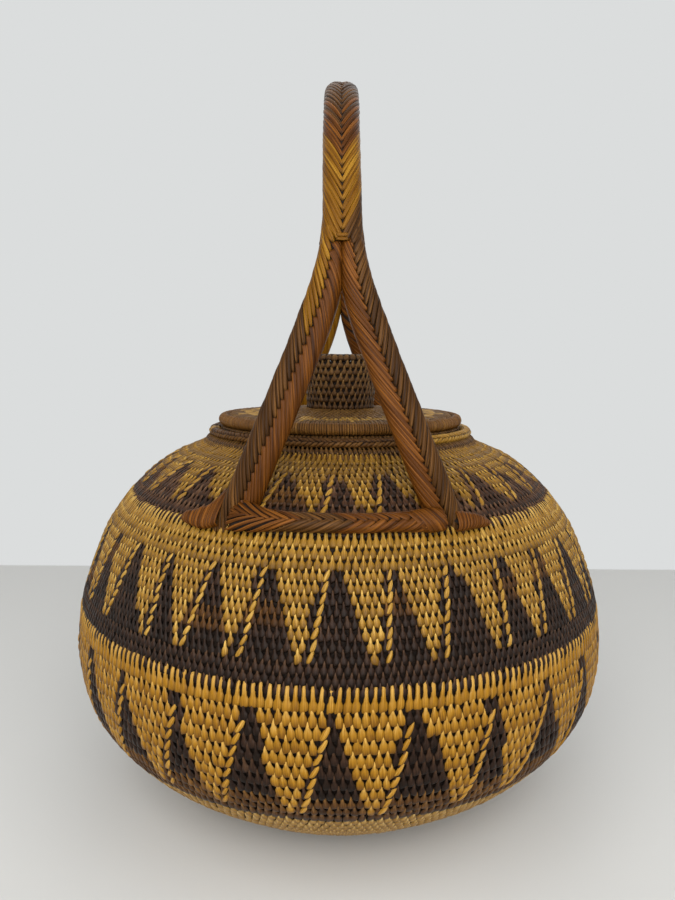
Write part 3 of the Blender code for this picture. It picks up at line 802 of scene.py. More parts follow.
@dataclass
class Wall:
    """The coiled body: its cores, and its rows of stitches sewn band by band.

    The profile runs in shares of radius and height. The foot's surface is lifted, because its stitches
    fill the gap down to the ground. The core waves with the rows under the stitches; the core share is
    the depth where it ends and the lining begins, and under the thin radius the wall thins to nothing.
    Leans and the start spread count in stitches, and tones run from 0 to 1.
    """

    radius: float = 0.142
    height: float = 0.1893
    thickness: float = 0.004
    profile_shares: Pairs = (
        (0.465, 0.000), (0.603, 0.048), (0.710, 0.107), (0.851, 0.196), (0.960, 0.307),
        (1.000, 0.433), (0.988, 0.566), (0.945, 0.677), (0.880, 0.788), (0.791, 0.876),
        (0.675, 0.950), (0.530, 1.000))
    middle_radius: float = 0.0006
    foot_lift: float = 0.00075
    foot_ease: float = 0.008
    core_mean_mm: float = -1.25
    core_wave_mm: float = 0.45
    core_waves_on: float = 0.08
    core_steps: int = 120
    ring_steps: int = 6
    core_share: float = 0.6
    lining_wave_mm: float = 0.7
    thin_radius: float = 0.012
    base_coil_pitch: float = 0.0047
    base_stitch_pitch: float = 0.0031
    start_spread: float = 0.3
    row_spread: float = 0.04
    dark_spread: float = 0.14
    lean: float = 0.12
    cord_shine: float = 0.08
    patch_rows: int = 2

    def __post_init__(self) -> None:
        """Build the outer surface, from the middle of the base over its edge to the collar."""
        self.rng = np.random.default_rng(SEED)
        side = smooth_curve(np.array(self.profile_shares) * (self.radius, self.height), 24)
        flat = np.linspace(self.middle_radius, side[0][0], 40)[:-1]
        floor = np.stack([flat, np.full(len(flat), self.foot_lift)], -1)
        side[:, 1] += self.foot_lift * np.clip(1.0 - side[:, 1] / self.foot_ease, 0.0, 1.0)
        self.surface = TurnedSurface(np.vstack([floor, side]))
        self.side_lengths = self.surface.lengths[len(floor):]
        self.side_radii, self.side_heights = self.surface.outline[len(floor):].T

    def length_at(self, share: float) -> float:
        """Length on the surface where the side reaches a share of the body's height."""
        height = share * self.height if share > 0.0 else self.side_heights[0]
        return float(np.interp(height, self.side_heights, self.side_lengths))

    def radius_at(self, heights: Array) -> Array:
        """Outer radius of the side at given heights."""
        return np.interp(heights, self.side_heights, self.side_radii)

    def keep_out(self, points: Array, sink: float = 0.0015) -> Array:
        """Push points that lie deep inside the wall back out to it.

        Args:
            points: Places, with a last axis of three.
            sink: Depth under the wall's surface that is allowed.

        Returns:
            The places.
        """
        radius = np.hypot(points[..., 0], points[..., 1])
        least = np.where(points[..., 2] < self.height, self.radius_at(points[..., 2]) - sink, 0.0)
        grow = np.maximum(1.0, least / np.maximum(radius, 1e-6))
        return points * np.stack([grow, grow, np.ones_like(grow)], -1)

    def rows_of(self, band: Band) -> list[Row]:
        """The rows of a band, from its upper edge down."""
        high, low = self.length_at(band.high), self.length_at(band.low)
        return laid_rows(high, (low - high) / band.rows, band.count, band.rows)

    def base_rows(self) -> list[Row]:
        """The rows under the base, from its edge to the middle."""
        edge = self.length_at(0.0)
        count = round(edge / self.base_coil_pitch)
        return spaced_rows(self.surface, edge, -edge / count, self.base_stitch_pitch, count - 1)

    def sew_triangles(self, band: Band) -> list[tuple[Finish, Strands]]:
        """Sew a band of undyed triangles that hang in a dark ground, each with a cord line.

        Args:
            band: The band.

        Returns:
            Groups of stitches with their finishes.
        """
        rng = self.rng
        groups = []
        period = band.count / band.repeats
        starts = np.arange(band.repeats) * period + rng.normal(0.0, self.start_spread, band.repeats)
        tips = rng.uniform(*band.tip_shares, band.repeats)
        browner = np.where(rng.random(band.repeats) < band.brown_share,
                           rng.integers(1, band.rows - self.patch_rows, band.repeats), band.rows)
        for number, row in enumerate(self.rows_of(band)):
            share = number / (band.rows - 1)
            width = band.top_stitches * (1.0 - share) + share
            left = starts + tips * (band.top_stitches - width)
            away = (np.arange(band.count)[:, None] + row.offset - left[None]) % band.count
            inside = (away < width).any(1)
            first = browner[np.argmin(away, axis=1)]
            brown = ~inside & (number >= first) & (number < first + self.patch_rows)
            cord = left + width + band.rope_gap + band.rope_drift * share - row.offset
            cord = cord if number >= band.first_cord else cord[:0]
            tone = 0.5 + rng.normal(0.0, self.row_spread)
            ground = Finish.BROWN if number >= band.rows - band.brown_rows else band.finish
            for finish, form, which, lean, light in (
                    (band.undyed, band.stitch, np.flatnonzero(inside), self.lean, band.tone),
                    (band.undyed, ROPE, cord, band.rope_lean, band.tone + self.cord_shine),
                    (Finish.BROWN, LONG_STITCH, np.flatnonzero(brown), self.lean, tone),
                    (ground, LONG_STITCH, np.flatnonzero(~inside & ~brown), self.lean, tone)):
                spread = 0.07 if finish is band.undyed else self.dark_spread
                groups.append((finish, sew(self.surface, row, form, rng, which, lean=lean,
                                           tone=light, spread=spread)))
        return groups

    def sew_plain(self, band: Band) -> list[tuple[Finish, Strands]]:
        """Sew a plain band.

        Args:
            band: The band.

        Returns:
            Groups of stitches with their finishes.
        """
        groups = []
        for number, row in enumerate(self.rows_of(band)):
            undyed = band.finish in (Finish.STRAW, Finish.AMBER)
            form = FINGER if number == 0 and undyed else STITCH
            tone = band.tone + self.rng.normal(0.0, self.row_spread)
            groups.append((band.finish, sew(self.surface, row, form, self.rng, lean=-0.04, tone=tone)))
        return groups

    def layer(self, name: str, finish: Finish, node: str, lengths: Array, upper: Array,
              lower: Array, soil: Array) -> None:
        """Make a closed layer of the wall between two lifts.

        Args:
            name: Name of the object.
            finish: Its finish.
            node: CAD node that it stands for.
            lengths: Lengths on the surface, rising.
            upper: Lift of the outer face at each length.
            lower: Lift of the inner face.
            soil: Share of painted shade at each length.
        """
        turn = np.arange(self.core_steps) * math.tau / self.core_steps
        around = np.concatenate([lengths, lengths[::-1]])
        lift = np.concatenate([upper, lower[::-1]])[:, None]
        points = self.surface.place(*np.broadcast_arrays(around[:, None], turn[None], lift))
        item = lattice_object(name, points, closed_rows=True)
        mark_strands(item, points, around, np.concatenate([soil, soil[::-1]]))
        dress(item, finish, "basket", node)

    def build_core(self, node: str) -> None:
        """Make one CAD node's core, painted dark as shade, and its lining with the ridges of the rows.

        Args:
            node: CAD node.
        """
        rows = [row for band in BANDS if band.node == node for row in self.rows_of(band)]
        if node == "base_coil":
            rows = self.base_rows() + rows
        rows.sort(key=lambda row: row.top)
        phases = 1.0 - np.arange(self.ring_steps) / self.ring_steps
        lengths = np.array([*(row.top - row.height * phase for row in rows for phase in phases),
                            rows[-1].top])
        phases = np.array([*np.tile(phases, len(rows)), 0.0])
        ridge = np.abs(np.sin(math.pi * phases))
        depth = np.minimum(1.0, self.surface.radius(lengths) / self.thin_radius)
        outer = (self.core_mean_mm
                 + self.core_wave_mm * np.cos(math.tau * (phases - self.core_waves_on))) * MM
        middle = -self.core_share * self.thickness * depth
        inner = (-self.thickness - self.lining_wave_mm * MM * ridge) * depth
        # The core is painted near-black, as shade in the holes between the stitches
        self.layer(f"{node}_core", Finish.CORE, node, lengths, np.maximum(outer, middle), middle,
                   ridge)
        # The lining is painted with shade in the valleys between the ridges
        self.layer(f"{node}_lining", Finish.LINING, node, lengths, middle, inner,
                   CREVICE_PAINTED_SHADE * (1.0 - ridge) ** 2)

    def build(self) -> None:
        """Sew every band and dress the pieces."""
        for node in dict.fromkeys(band.node for band in BANDS):
            groups = []
            for band in BANDS:
                if band.node == node:
                    groups += (self.sew_triangles(band) if band.pattern is Pattern.TRIANGLES
                               else self.sew_plain(band))
            if node == "base_coil":
                groups += [(Finish.PALE, sew(self.surface, row, STITCH, self.rng, tone=0.45))
                           for row in self.base_rows()]
            self.build_core(node)
            for finish in dict.fromkeys(finish for finish, _ in groups):
                strands = Strands.join([group for kind, group in groups if kind is finish])
                for part, chosen in enumerate(strands.parts()):
                    name = f"{node}_{finish.name.lower()}_stitches_{part + 1}"
                    dress(chosen.object(name), finish, "basket", node)


@dataclass(frozen=True)
class StripForm:
    """Shape and shade of a split cane strip.

    The crest is the height of its middle over the surface, and the crown the drop of its edges under
    its middle, both in millimetres.
    """

    tone: float = 0.5
    spread: float = 0.10
    crest: float = 0.25
    crown: float = 0.5


@dataclass(frozen=True)
class Weave(StripForm):
    """How strips bind one half of a member, between the seams of its outer face and its back.

    The strips have a pitch along the seam, and angles to the member's axis at its start and its end.
    Their ends keep a gap from the seam, and a blunt share of their width is left there.
    """

    pitch: float = 4.5 * MM
    degrees: Pair = (26.0, 26.0)
    into_seam: bool = True
    seam_gap: float = -0.5 * MM
    blunt: float = 1.0


class Sleeve:
    """A bound member unrolled into length along it and share of its girth.

    A share of 0 is the middle of the outer face, and 0.5 either way is the middle of the back.
    """

    girth_steps = 96
    # Squareness of the section, 2 for an ellipse, and width of the dents along its seams
    squareness = 2.7
    seam_width = 1.6 * MM
    # Facets round the filling, the length of each, and what is left of it at its two ends
    filling_steps = 32
    filling_step = 3.0 * MM
    filling_end = 0.03
    # Places near a strip's ends, in metres, and in shares of a short strip
    tip_lengths = np.array([0.0, 0.35, 0.9, 1.8]) * MM
    tip_shares = np.array([0.0, 0.08, 0.2, 0.35])
    # Places across a strip, and the share of its crown's drop at each
    across = np.array([-1.0, -0.84, -0.45, 0.0, 0.45, 0.84, 1.0])
    sag = np.array([1.0, 0.34, 0.10, 0.0, 0.10, 0.34, 1.0])
    # Millimetres over which a strip's end is round, tapers, dives under its neighbours and is painted
    # with shade
    round_mm, taper_mm, dive_mm, dirt_mm = 1.2, 3.0, 0.65, 0.8
    # Square of the width share that is left at a round end
    blunt_square = 0.16
    # Millimetres that the end dives, and painted shade at the ends and along the edges
    dive_depth_mm, end_soil, edge_soil = 0.9, 0.85, 1.1
    # Mean width of the strips in pitches, with its spread, and the spread of their height
    width_share, width_spread, height_spread_mm = 1.06, 0.05, 0.07
    # Spread of the strips' places in pitches, and the shortest strip that is laid
    place_spread, shortest = 0.04, 1.5 * MM

    def __init__(self, centres: Array, sides: Array, outs: Array,
                 half_widths: Array, half_heights: Array, seam: Array | float,
                 seam_depth: float = 0.6 * MM) -> None:
        """Lay the sections along the member.

        Args:
            centres: Section centres, (station, 3).
            sides: Unit vectors towards rising shares, (station, 3).
            outs: Unit vectors out of the outer face, (station, 3).
            half_widths: Half widths along the sides.
            half_heights: Half heights along the outs.
            seam: Share of the seam in the outer face, at each station.
            seam_depth: Depth of the dents along the seams in the outer face and the back.
        """
        angle = np.linspace(-math.pi, math.pi, 2 * self.girth_steps + 1)
        wide, high = (np.sign(part) * np.abs(part) ** (2.0 / self.squareness)
                      for part in (np.sin(angle), np.cos(angle)))
        raw = (centres[:, None] + sides[:, None] * (half_widths[:, None] * wide)[..., None]
               + outs[:, None] * (half_heights[:, None] * high)[..., None])
        run = np.concatenate([np.zeros((len(raw), 1)),
                              np.cumsum(np.linalg.norm(np.diff(raw, axis=1), axis=2), axis=1)], 1)
        shares = np.linspace(0.0, 1.0, self.girth_steps + 1)
        self.girths = run[:, -1]
        self.grid = np.stack([[np.interp(shares * length[-1], length, ring[:, axis])
                               for axis in range(3)] for length, ring in zip(run, raw)])
        self.grid = self.grid.transpose(0, 2, 1)
        self.lengths = np.concatenate([
            [0.0], np.cumsum(np.linalg.norm(np.diff(centres, axis=0), axis=1))])
        self.seam = np.broadcast_to(seam, len(centres))
        self.normals, self.handed = self.outward_normals(centres)
        for place in (self.seam, np.full(len(centres), 0.5)):
            away = np.abs((shares[None] - place[:, None]) % 1.0 - 0.5)
            dent = np.exp(-((away * self.girths[:, None]) / self.seam_width) ** 2)
            self.grid -= self.normals * (seam_depth * dent)[..., None]

    def outward_normals(self, centres: Array) -> tuple[Array, float]:
        """Work out the unit vectors that stand on the grid.

        Args:
            centres: Section centres.

        Returns:
            The vectors, and the handedness of the unrolled plane, 1 or -1.
        """
        along = np.gradient(self.grid, axis=0)
        around = np.gradient(self.grid, axis=1)
        around[:, 0] = around[:, -1] = self.grid[:, 1] - self.grid[:, -2]
        normals = np.cross(along, around)
        normals /= np.linalg.norm(normals, axis=2)[..., None] + 1e-12
        outward = ((self.grid - centres[:, None]) * normals).sum(2)
        handed = 1.0 if outward.mean() > 0.0 else -1.0
        return normals * handed, handed

    @property
    def total(self) -> float:
        """Length of the member."""
        return float(self.lengths[-1])

    def girth(self, length: Array) -> Array:
        """Girth at a length."""
        return np.interp(length, self.lengths, self.girths)

    def place(self, length: Array, share: Array, lift: Array) -> Array:
        """World places of points on or over the sleeve.

        Args:
            length: Length along the member.
            share: Share of the girth from the middle of the outer face.
            lift: Height over the surface.

        Returns:
            Array of places with a last axis of three.
        """
        row = np.interp(length, self.lengths, np.arange(len(self.lengths)))
        i = np.minimum(row.astype(int), len(self.lengths) - 2)
        column = ((share + 0.5) % 1.0) * self.girth_steps
        j = np.minimum(column.astype(int), self.girth_steps - 1)
        down, right = (row - i)[..., None], (column - j)[..., None]
        found = []
        for table in (self.grid, self.normals):
            upper = table[i, j] * (1.0 - right) + table[i, j + 1] * right
            lower = table[i + 1, j] * (1.0 - right) + table[i + 1, j + 1] * right
            found.append(upper * (1.0 - down) + lower * down)
        return found[0] + found[1] * lift[..., None]

    def filling(self, name: str, sink: float) -> Object:
        """Make the closed filling under the strips.

        Args:
            name: Name of the object.
            sink: Depth under the sleeve's surface.

        Returns:
            The object.
        """
        rows = np.linspace(0.0, self.total, max(4, round(self.total / self.filling_step)))
        shares = np.arange(self.filling_steps) / self.filling_steps - 0.5
        points = self.place(*np.broadcast_arrays(rows[:, None], shares[None], -sink))
        for end in (0, -1):
            middle = points[end].mean(0)
            points[end] = middle + self.filling_end * (points[end] - middle)
        return lattice_object(name, points, closed_rows=False)

    def strips(self, start: Array, end: Array, width: Array | float,
               rng: np.random.Generator, form: StripForm,
               taper: Pair = (1.0, 1.0)) -> Strands:
        """Lay strips, each on a straight run of the unrolled surface, with both ends tucked in.

        Args:
            start: Length and share of each strip's start, (strip, 2).
            end: Length and share of each strip's end.
            width: Width of the strips, or of each one.
            rng: Random source.
            form: Shape and shade of the strips.
            taper: Share of the width that is left at the start and at the end.

        Returns:
            The strips.
        """
        count = len(start)
        girth = self.girth(0.5 * (start[:, 0] + end[:, 0]))
        run = end - start
        metric = np.stack([run[:, 0], run[:, 1] * girth], -1)
        size = np.linalg.norm(metric, axis=1)[:, None]
        unit = metric / size
        share = np.minimum(self.tip_lengths / size, self.tip_shares)
        first, last = share[:, -1:], 1.0 - share[:, -1:]
        inner = first + (last - first) * np.linspace(0.0, 1.0, 16)[1:-1]
        t = np.concatenate([share, inner, 1.0 - share[:, ::-1]], 1)
        from_end = np.minimum(t, 1.0 - t) * size / MM
        rounded = np.sqrt(np.clip(
            1.0 - (1.0 - np.minimum(from_end / self.round_mm, 1.0)) ** 2, self.blunt_square, 1.0))
        narrow = rounded * np.minimum(*(
            left + (1.0 - left) * np.minimum(away * size / MM / self.taper_mm, 1.0)
            for left, away in zip(taper, (t, 1.0 - t))))
        dive = -self.dive_depth_mm * np.exp(-(from_end / self.dive_mm) ** 2)
        jitter = (self.width_share + rng.normal(0.0, self.width_spread, count))[:, None]
        half = 0.5 * np.broadcast_to(width, count)[:, None] * narrow * jitter
        aside = self.across * (half * self.handed)[..., None]
        length = (start[:, :1] + run[:, :1] * t)[..., None] - aside * unit[:, 1:, None]
        around = ((start[:, 1:] + run[:, 1:] * t)[..., None]
                  + aside * (unit[:, 0] / girth)[:, None, None])
        rise = rng.normal(0.0, self.height_spread_mm, count)[:, None]
        lift = (form.crest + dive + rise)[..., None] - form.crown * self.sag
        points = self.place(length, around, lift * MM)
        local = np.stack(np.broadcast_arrays(self.across * half[..., None] / MM,
                                             (t * size)[..., None] / MM), -1)
        # Painted shade at the tucked ends, where they dive under their neighbours, and along the edges
        soil = (self.end_soil * np.exp(-(from_end / self.dirt_mm) ** 2)[..., None]
                + self.edge_soil * form.crown * np.abs(self.across) ** 8)
        tones = rng.normal(form.tone, form.spread, count)[:, None, None]
        tones, soil = (np.clip(np.broadcast_to(value, length.shape), 0.0, 1.0)
                       for value in (tones, soil))
        return Strands(points, local, tones, soil)

    def half_weave(self, half: int, weave: Weave, rng: np.random.Generator) -> tuple[Strands, Array]:
        """Bind one half of the member, from the seam of the outer face to the seam of the back.

        Args:
            half: Which half, 1 for rising shares and -1 for the other.
            weave: How the strips lie.
            rng: Random source.

        Returns:
            The strips, and the length of each one's end on the seam.
        """
        steepest = math.tan(math.radians(min(weave.degrees)))
        reach = 0.55 * float(self.girths.max()) / steepest
        at = np.arange(-reach, self.total + reach, weave.pitch)
        at = at + rng.normal(0.0, self.place_spread * weave.pitch, len(at))
        slope = 1.0 / np.tan(np.radians(np.interp(at, [0.0, self.total], weave.degrees)))
        home = np.interp(at, self.lengths, self.seam)
        far = np.full(len(at), half * 0.5)
        fall = np.abs(far - home) * self.girth(at) * slope
        gap = half * weave.seam_gap / self.girth(at)
        near = np.stack([at, home + gap], -1)
        away = np.stack([at - fall if weave.into_seam else at + fall, far], -1)
        start, end = (away, near) if weave.into_seam else (near, away)
        run = end - start
        low = np.clip((0.0 - start[:, 0]) / run[:, 0], 0.0, 1.0)
        high = np.clip((self.total - start[:, 0]) / run[:, 0], 0.0, 1.0)
        kept = (high - low) * np.abs(run[:, 0]) > self.shortest
        flat = np.stack([run[:, 0], run[:, 1] * self.girth(at)], -1)
        flat /= np.linalg.norm(flat, axis=1)[:, None]
        step = np.gradient(np.stack([at, home * self.girth(at)], -1), axis=0)
        width = np.abs(flat[:, 0] * step[:, 1] - flat[:, 1] * step[:, 0])
        start, end = (start + run * low[:, None])[kept], (start + run * high[:, None])[kept]
        taper = (1.0, weave.blunt) if weave.into_seam else (weave.blunt, 1.0)
        return self.strips(start, end, width[kept], rng, weave, taper), at[kept]


class Side(Enum):
    """Sides of the basket as the photograph shows it; the value is the sign of X."""

    LEFT = -1
    RIGHT = 1

    @property
    def turned(self) -> "Side":
        """The side that half a turn round the axis leads to."""
        return Side(-self.value)


@dataclass(frozen=True)
class Tail:
    """Shape of a lashing's tail beside a foot.

    Its length runs from the leg to the tip, and a turn of it is hidden under the leg. Half widths, and
    rises over the straps' height, are in millimetres by share of the length.
    """

    length: float
    hidden: float
    widths: Pairs
    rises: Pairs


TAILS = {
    Side.LEFT: Tail(
        20.6 * MM, 0.02, ((0.0, 10.5), (0.2, 7.6), (0.33, 5.6), (0.65, 3.2), (0.84, 2.2), (1.0, 0.9)),
        ((0.0, 4.0), (0.2, 0.9), (0.33, -0.8), (0.65, -1.9), (1.0, -1.8))),
    Side.RIGHT: Tail(
        18.5 * MM, 0.05, ((0.0, 4.4), (0.19, 4.4), (0.43, 3.4), (0.76, 2.0), (1.0, 0.9)),
        ((0.0, -1.0), (0.19, -1.0), (1.0, -2.6))),
}


@dataclass
class Arch:
    """Path of the handle: -90 degrees is the front foot, 0 the top and 90 the rear foot.

    The legs bend apart a fork share of the way from the fork to the foot. Sways, sizes and seams go by
    degrees on the arch; the bar's sizes and rises are in millimetres, by turn from the front.
    """

    wall: Wall
    total_rise: float = 0.2078
    cane_radius: float = 0.0028
    pair_offset: float = 0.0031
    stem_offset: float = 0.0037
    fit_gap: float = 0.0003
    binding: float = 0.0012
    foot_spread: float = 0.0439
    foot_share: float = 0.891
    strap_share: float = 0.875
    strap_gap: float = 0.0005
    stem_start_share: float = 0.650
    fork_share: float = 0.240
    fork_soft_share: float = 0.120
    stem_end: float = 55.6
    stem_fullness: float = 0.0004
    stem_sways: Pairs = ((35.0, -0.0006), (50.0, 0.0))
    stem_seam_depth: float = 0.0005
    leg_ends: Pair = (-53.0, -93.0)
    leg_sizes: Pairs = ((-56.0, 1.0), (-54.5, 0.88))
    leg_seams: Pairs = ((-57.0, 0.0), (-54.0, 0.06))
    bar_widths: Pairs = ((-0.42, 8.2), (-0.35, 7.0), (-0.27, 4.7), (-0.2, 3.9), (0.24, 3.9),
                         (0.33, 5.2), (0.385, 4.6))
    bar_heights: Pairs = ((-0.42, 2.6), (-0.37, 3.1))
    bar_rises: Pairs = ((-0.42, 1.4), (-0.28, 0.0))
    bar_seam: float = -0.02
    tail_start: float = 0.0066
    tail_thickness_mm: float = 2.7

    def __post_init__(self) -> None:
        """Work out the ellipse of the arch."""
        self.skin = self.cane_radius + self.fit_gap + self.binding
        self.foot_height = self.foot_share * self.wall.height
        self.foot_radius = float(self.wall.radius_at(np.array(self.foot_height)))
        self.reach = math.sqrt(self.foot_radius ** 2 - self.foot_spread ** 2)
        self.rise = self.total_rise - self.pair_offset - self.skin
        self.stem_height = self.foot_height + self.rise * self.stem_start_share

    def middle(self, degrees: Array) -> Array:
        """Middle of the arch."""
        angle = np.radians(degrees)
        return np.stack([0.0 * angle, self.reach * np.sin(angle),
                         self.foot_height + self.rise * np.cos(angle)], -1)

    def outward(self, degrees: Array) -> Array:
        """Unit vectors across the arch, away from its hollow."""
        angle = np.radians(degrees)
        across = np.stack([0.0 * angle, self.rise * np.sin(angle), self.reach * np.cos(angle)], -1)
        return across / np.linalg.norm(across, axis=1)[:, None]

    def share(self, degrees: Array) -> Array:
        """How far down the fork a place lies, 0 on the stem and 1 at the foot."""
        depth = self.stem_height - self.middle(degrees)[:, 2]
        return depth / (self.stem_height - self.foot_height)

    def spread(self, degrees: Array) -> Array:
        """Work out how far the legs stand apart.

        Args:
            degrees: Places on the arch.

        Returns:
            Sideways distance of each leg from the arch's plane.
        """
        bends = (self.share(degrees) - self.fork_share, -self.fork_share, 1.0 - self.fork_share)
        hinge = [np.sqrt(bend * bend + self.fork_soft_share ** 2) + bend for bend in bends]
        opened = np.maximum(hinge[0] - hinge[1], 0.0) / (hinge[2] - hinge[1])
        return self.stem_offset + (self.foot_spread - self.stem_offset) * opened

    def extent(self, degrees: Array) -> tuple[Array, Array]:
        """Work out the section of one bound pair of canes, which turns from the stem to the foot.

        Args:
            degrees: Places on the arch.

        Returns:
            Its half widths and half heights.
        """
        share = np.clip(self.share(degrees) / (2.0 * self.fork_share), 0.0, 1.0)
        turn = math.pi / 2.0 * (1.0 - share * share * (3.0 - 2.0 * share))
        return self.pair_offset * np.cos(turn) + self.skin, self.pair_offset * np.sin(turn) + self.skin

    def stem(self) -> Sleeve:
        """Lay out the stem; shares rise towards +X.

        Returns:
            Its sleeve, from the rear fork over the top to the front fork.
        """
        degrees = np.linspace(self.stem_end, -self.stem_end, 90)
        half_width, half_height = self.extent(degrees)
        centres = self.middle(degrees)
        centres[:, 0] = read_table(self.stem_sways, np.abs(degrees))
        return Sleeve(centres, np.tile([1.0, 0.0, 0.0], (len(degrees), 1)), self.outward(degrees),
                      half_width + self.spread(degrees) + self.stem_fullness, half_height, 0.0,
                      self.stem_seam_depth)

    def leg(self, side: Side) -> Sleeve:
        """Lay out a front leg; shares rise towards the arch's plane.

        Args:
            side: Which leg.

        Returns:
            Its sleeve, from the fork down.
        """
        degrees = np.linspace(*self.leg_ends, 80)
        centres = self.middle(degrees)
        centres[:, 0] = side.value * self.spread(degrees)
        run = np.gradient(centres, axis=0)
        run /= np.linalg.norm(run, axis=1)[:, None]
        inward = np.tile([-float(side.value), 0.0, 0.0], (len(degrees), 1))
        inward -= run * (inward * run).sum(1)[:, None]
        inward /= np.linalg.norm(inward, axis=1)[:, None]
        outs = np.cross(run, inward)
        outs *= np.sign((outs * self.outward(degrees)).sum(1))[:, None]
        half_width, half_height = self.extent(degrees)
        size = read_table(self.leg_sizes, degrees)
        return Sleeve(centres, inward, outs, half_width * size, half_height * size,
                      read_table(self.leg_seams, degrees))

    def wall_sleeve(self, turns: Array, half_widths: Array, half_heights: Array,
                    rises: Array) -> Sleeve:
        """Lay out a flat member on the wall below the feet; shares rise up the wall.

        Args:
            turns: Turn of each station.
            half_widths: Half widths up the wall.
            half_heights: Half thicknesses.
            rises: Height of each station over the straps' height.

        Returns:
            The sleeve.
        """
        height = self.strap_share * self.wall.height + rises
        slope = (self.wall.radius_at(height + 0.5 * MM) - self.wall.radius_at(height - 0.5 * MM)) / MM
        size = np.hypot(1.0, slope)[:, None]
        radial = np.stack([np.sin(turns), -np.cos(turns), np.zeros(len(turns))], -1)
        up = np.array([[0.0, 0.0, 1.0]])
        outs = (radial - up * slope[:, None]) / size
        sides = (radial * slope[:, None] + up) / size
        centres = radial * self.wall.radius_at(height)[:, None] + up * height[:, None]
        centres = centres + outs * (self.strap_gap + half_heights)[:, None]
        return Sleeve(centres, sides, outs, half_widths, half_heights, self.bar_seam, 0.0)

    def bar(self) -> Sleeve:
        """Lay out the front bar.

        Returns:
            Its sleeve, from over the left foot to the right one.
        """
        turns = np.linspace(self.bar_widths[0][0], self.bar_widths[-1][0], 64)
        tables = (self.bar_widths, self.bar_heights, self.bar_rises)
        return self.wall_sleeve(turns, *(read_table(table, turns) * MM for table in tables))

    def tail(self, side: Side) -> Sleeve:
        """Lay out the lashing's tail beside a front foot, tall on the left.

        Args:
            side: Which foot.

        Returns:
            Its sleeve, from under the leg out to its tip.
        """
        tail = TAILS[side]
        share = np.linspace(0.0, 1.0, 30)
        wide = read_table(tail.widths, share)
        start = math.asin((self.foot_spread + self.tail_start) / self.foot_radius)
        turns = side.value * (start + share * tail.length / self.foot_radius - tail.hidden)
        return self.wall_sleeve(turns, wide * MM, np.minimum(wide, self.tail_thickness_mm) * MM,
                                read_table(tail.rises, share) * MM)


STEM_WEAVE = Weave(seam_gap=-0.2 * MM, blunt=0.6)
# Outer and inner half of each leg
LEG_WEAVES = {
    Side.LEFT: (Weave(pitch=4.1 * MM, seam_gap=0.1 * MM, blunt=0.45, crest=0.45),
                Weave(pitch=4.1 * MM, degrees=(34.0, 16.0), into_seam=False, tone=0.42, spread=0.06,
                      crest=0.15, crown=0.2)),
    Side.RIGHT: (Weave(degrees=(28.0, 28.0), seam_gap=0.1 * MM, blunt=0.45, crest=0.45),
                 Weave(degrees=(20.0, 20.0), tone=0.55, spread=0.06, crest=0.15, crown=0.2)),
}
# Lower and upper half of a bar: long flat strips at the left end, a chevron at the right one
BAR_WEAVES = {
    half: Weave(pitch=4.4 * MM, degrees=degrees, seam_gap=-0.4 * MM, blunt=0.9, crown=0.35)
    for half, degrees in ((-1, (14.0, 42.0)), (1, (15.0, 40.0)))}
KNUCKLE = StripForm(crest=0.55)
BAR_END_STRIP = StripForm(crest=0.5, crown=0.35)
TAIL_WRAP = StripForm(tone=0.55)


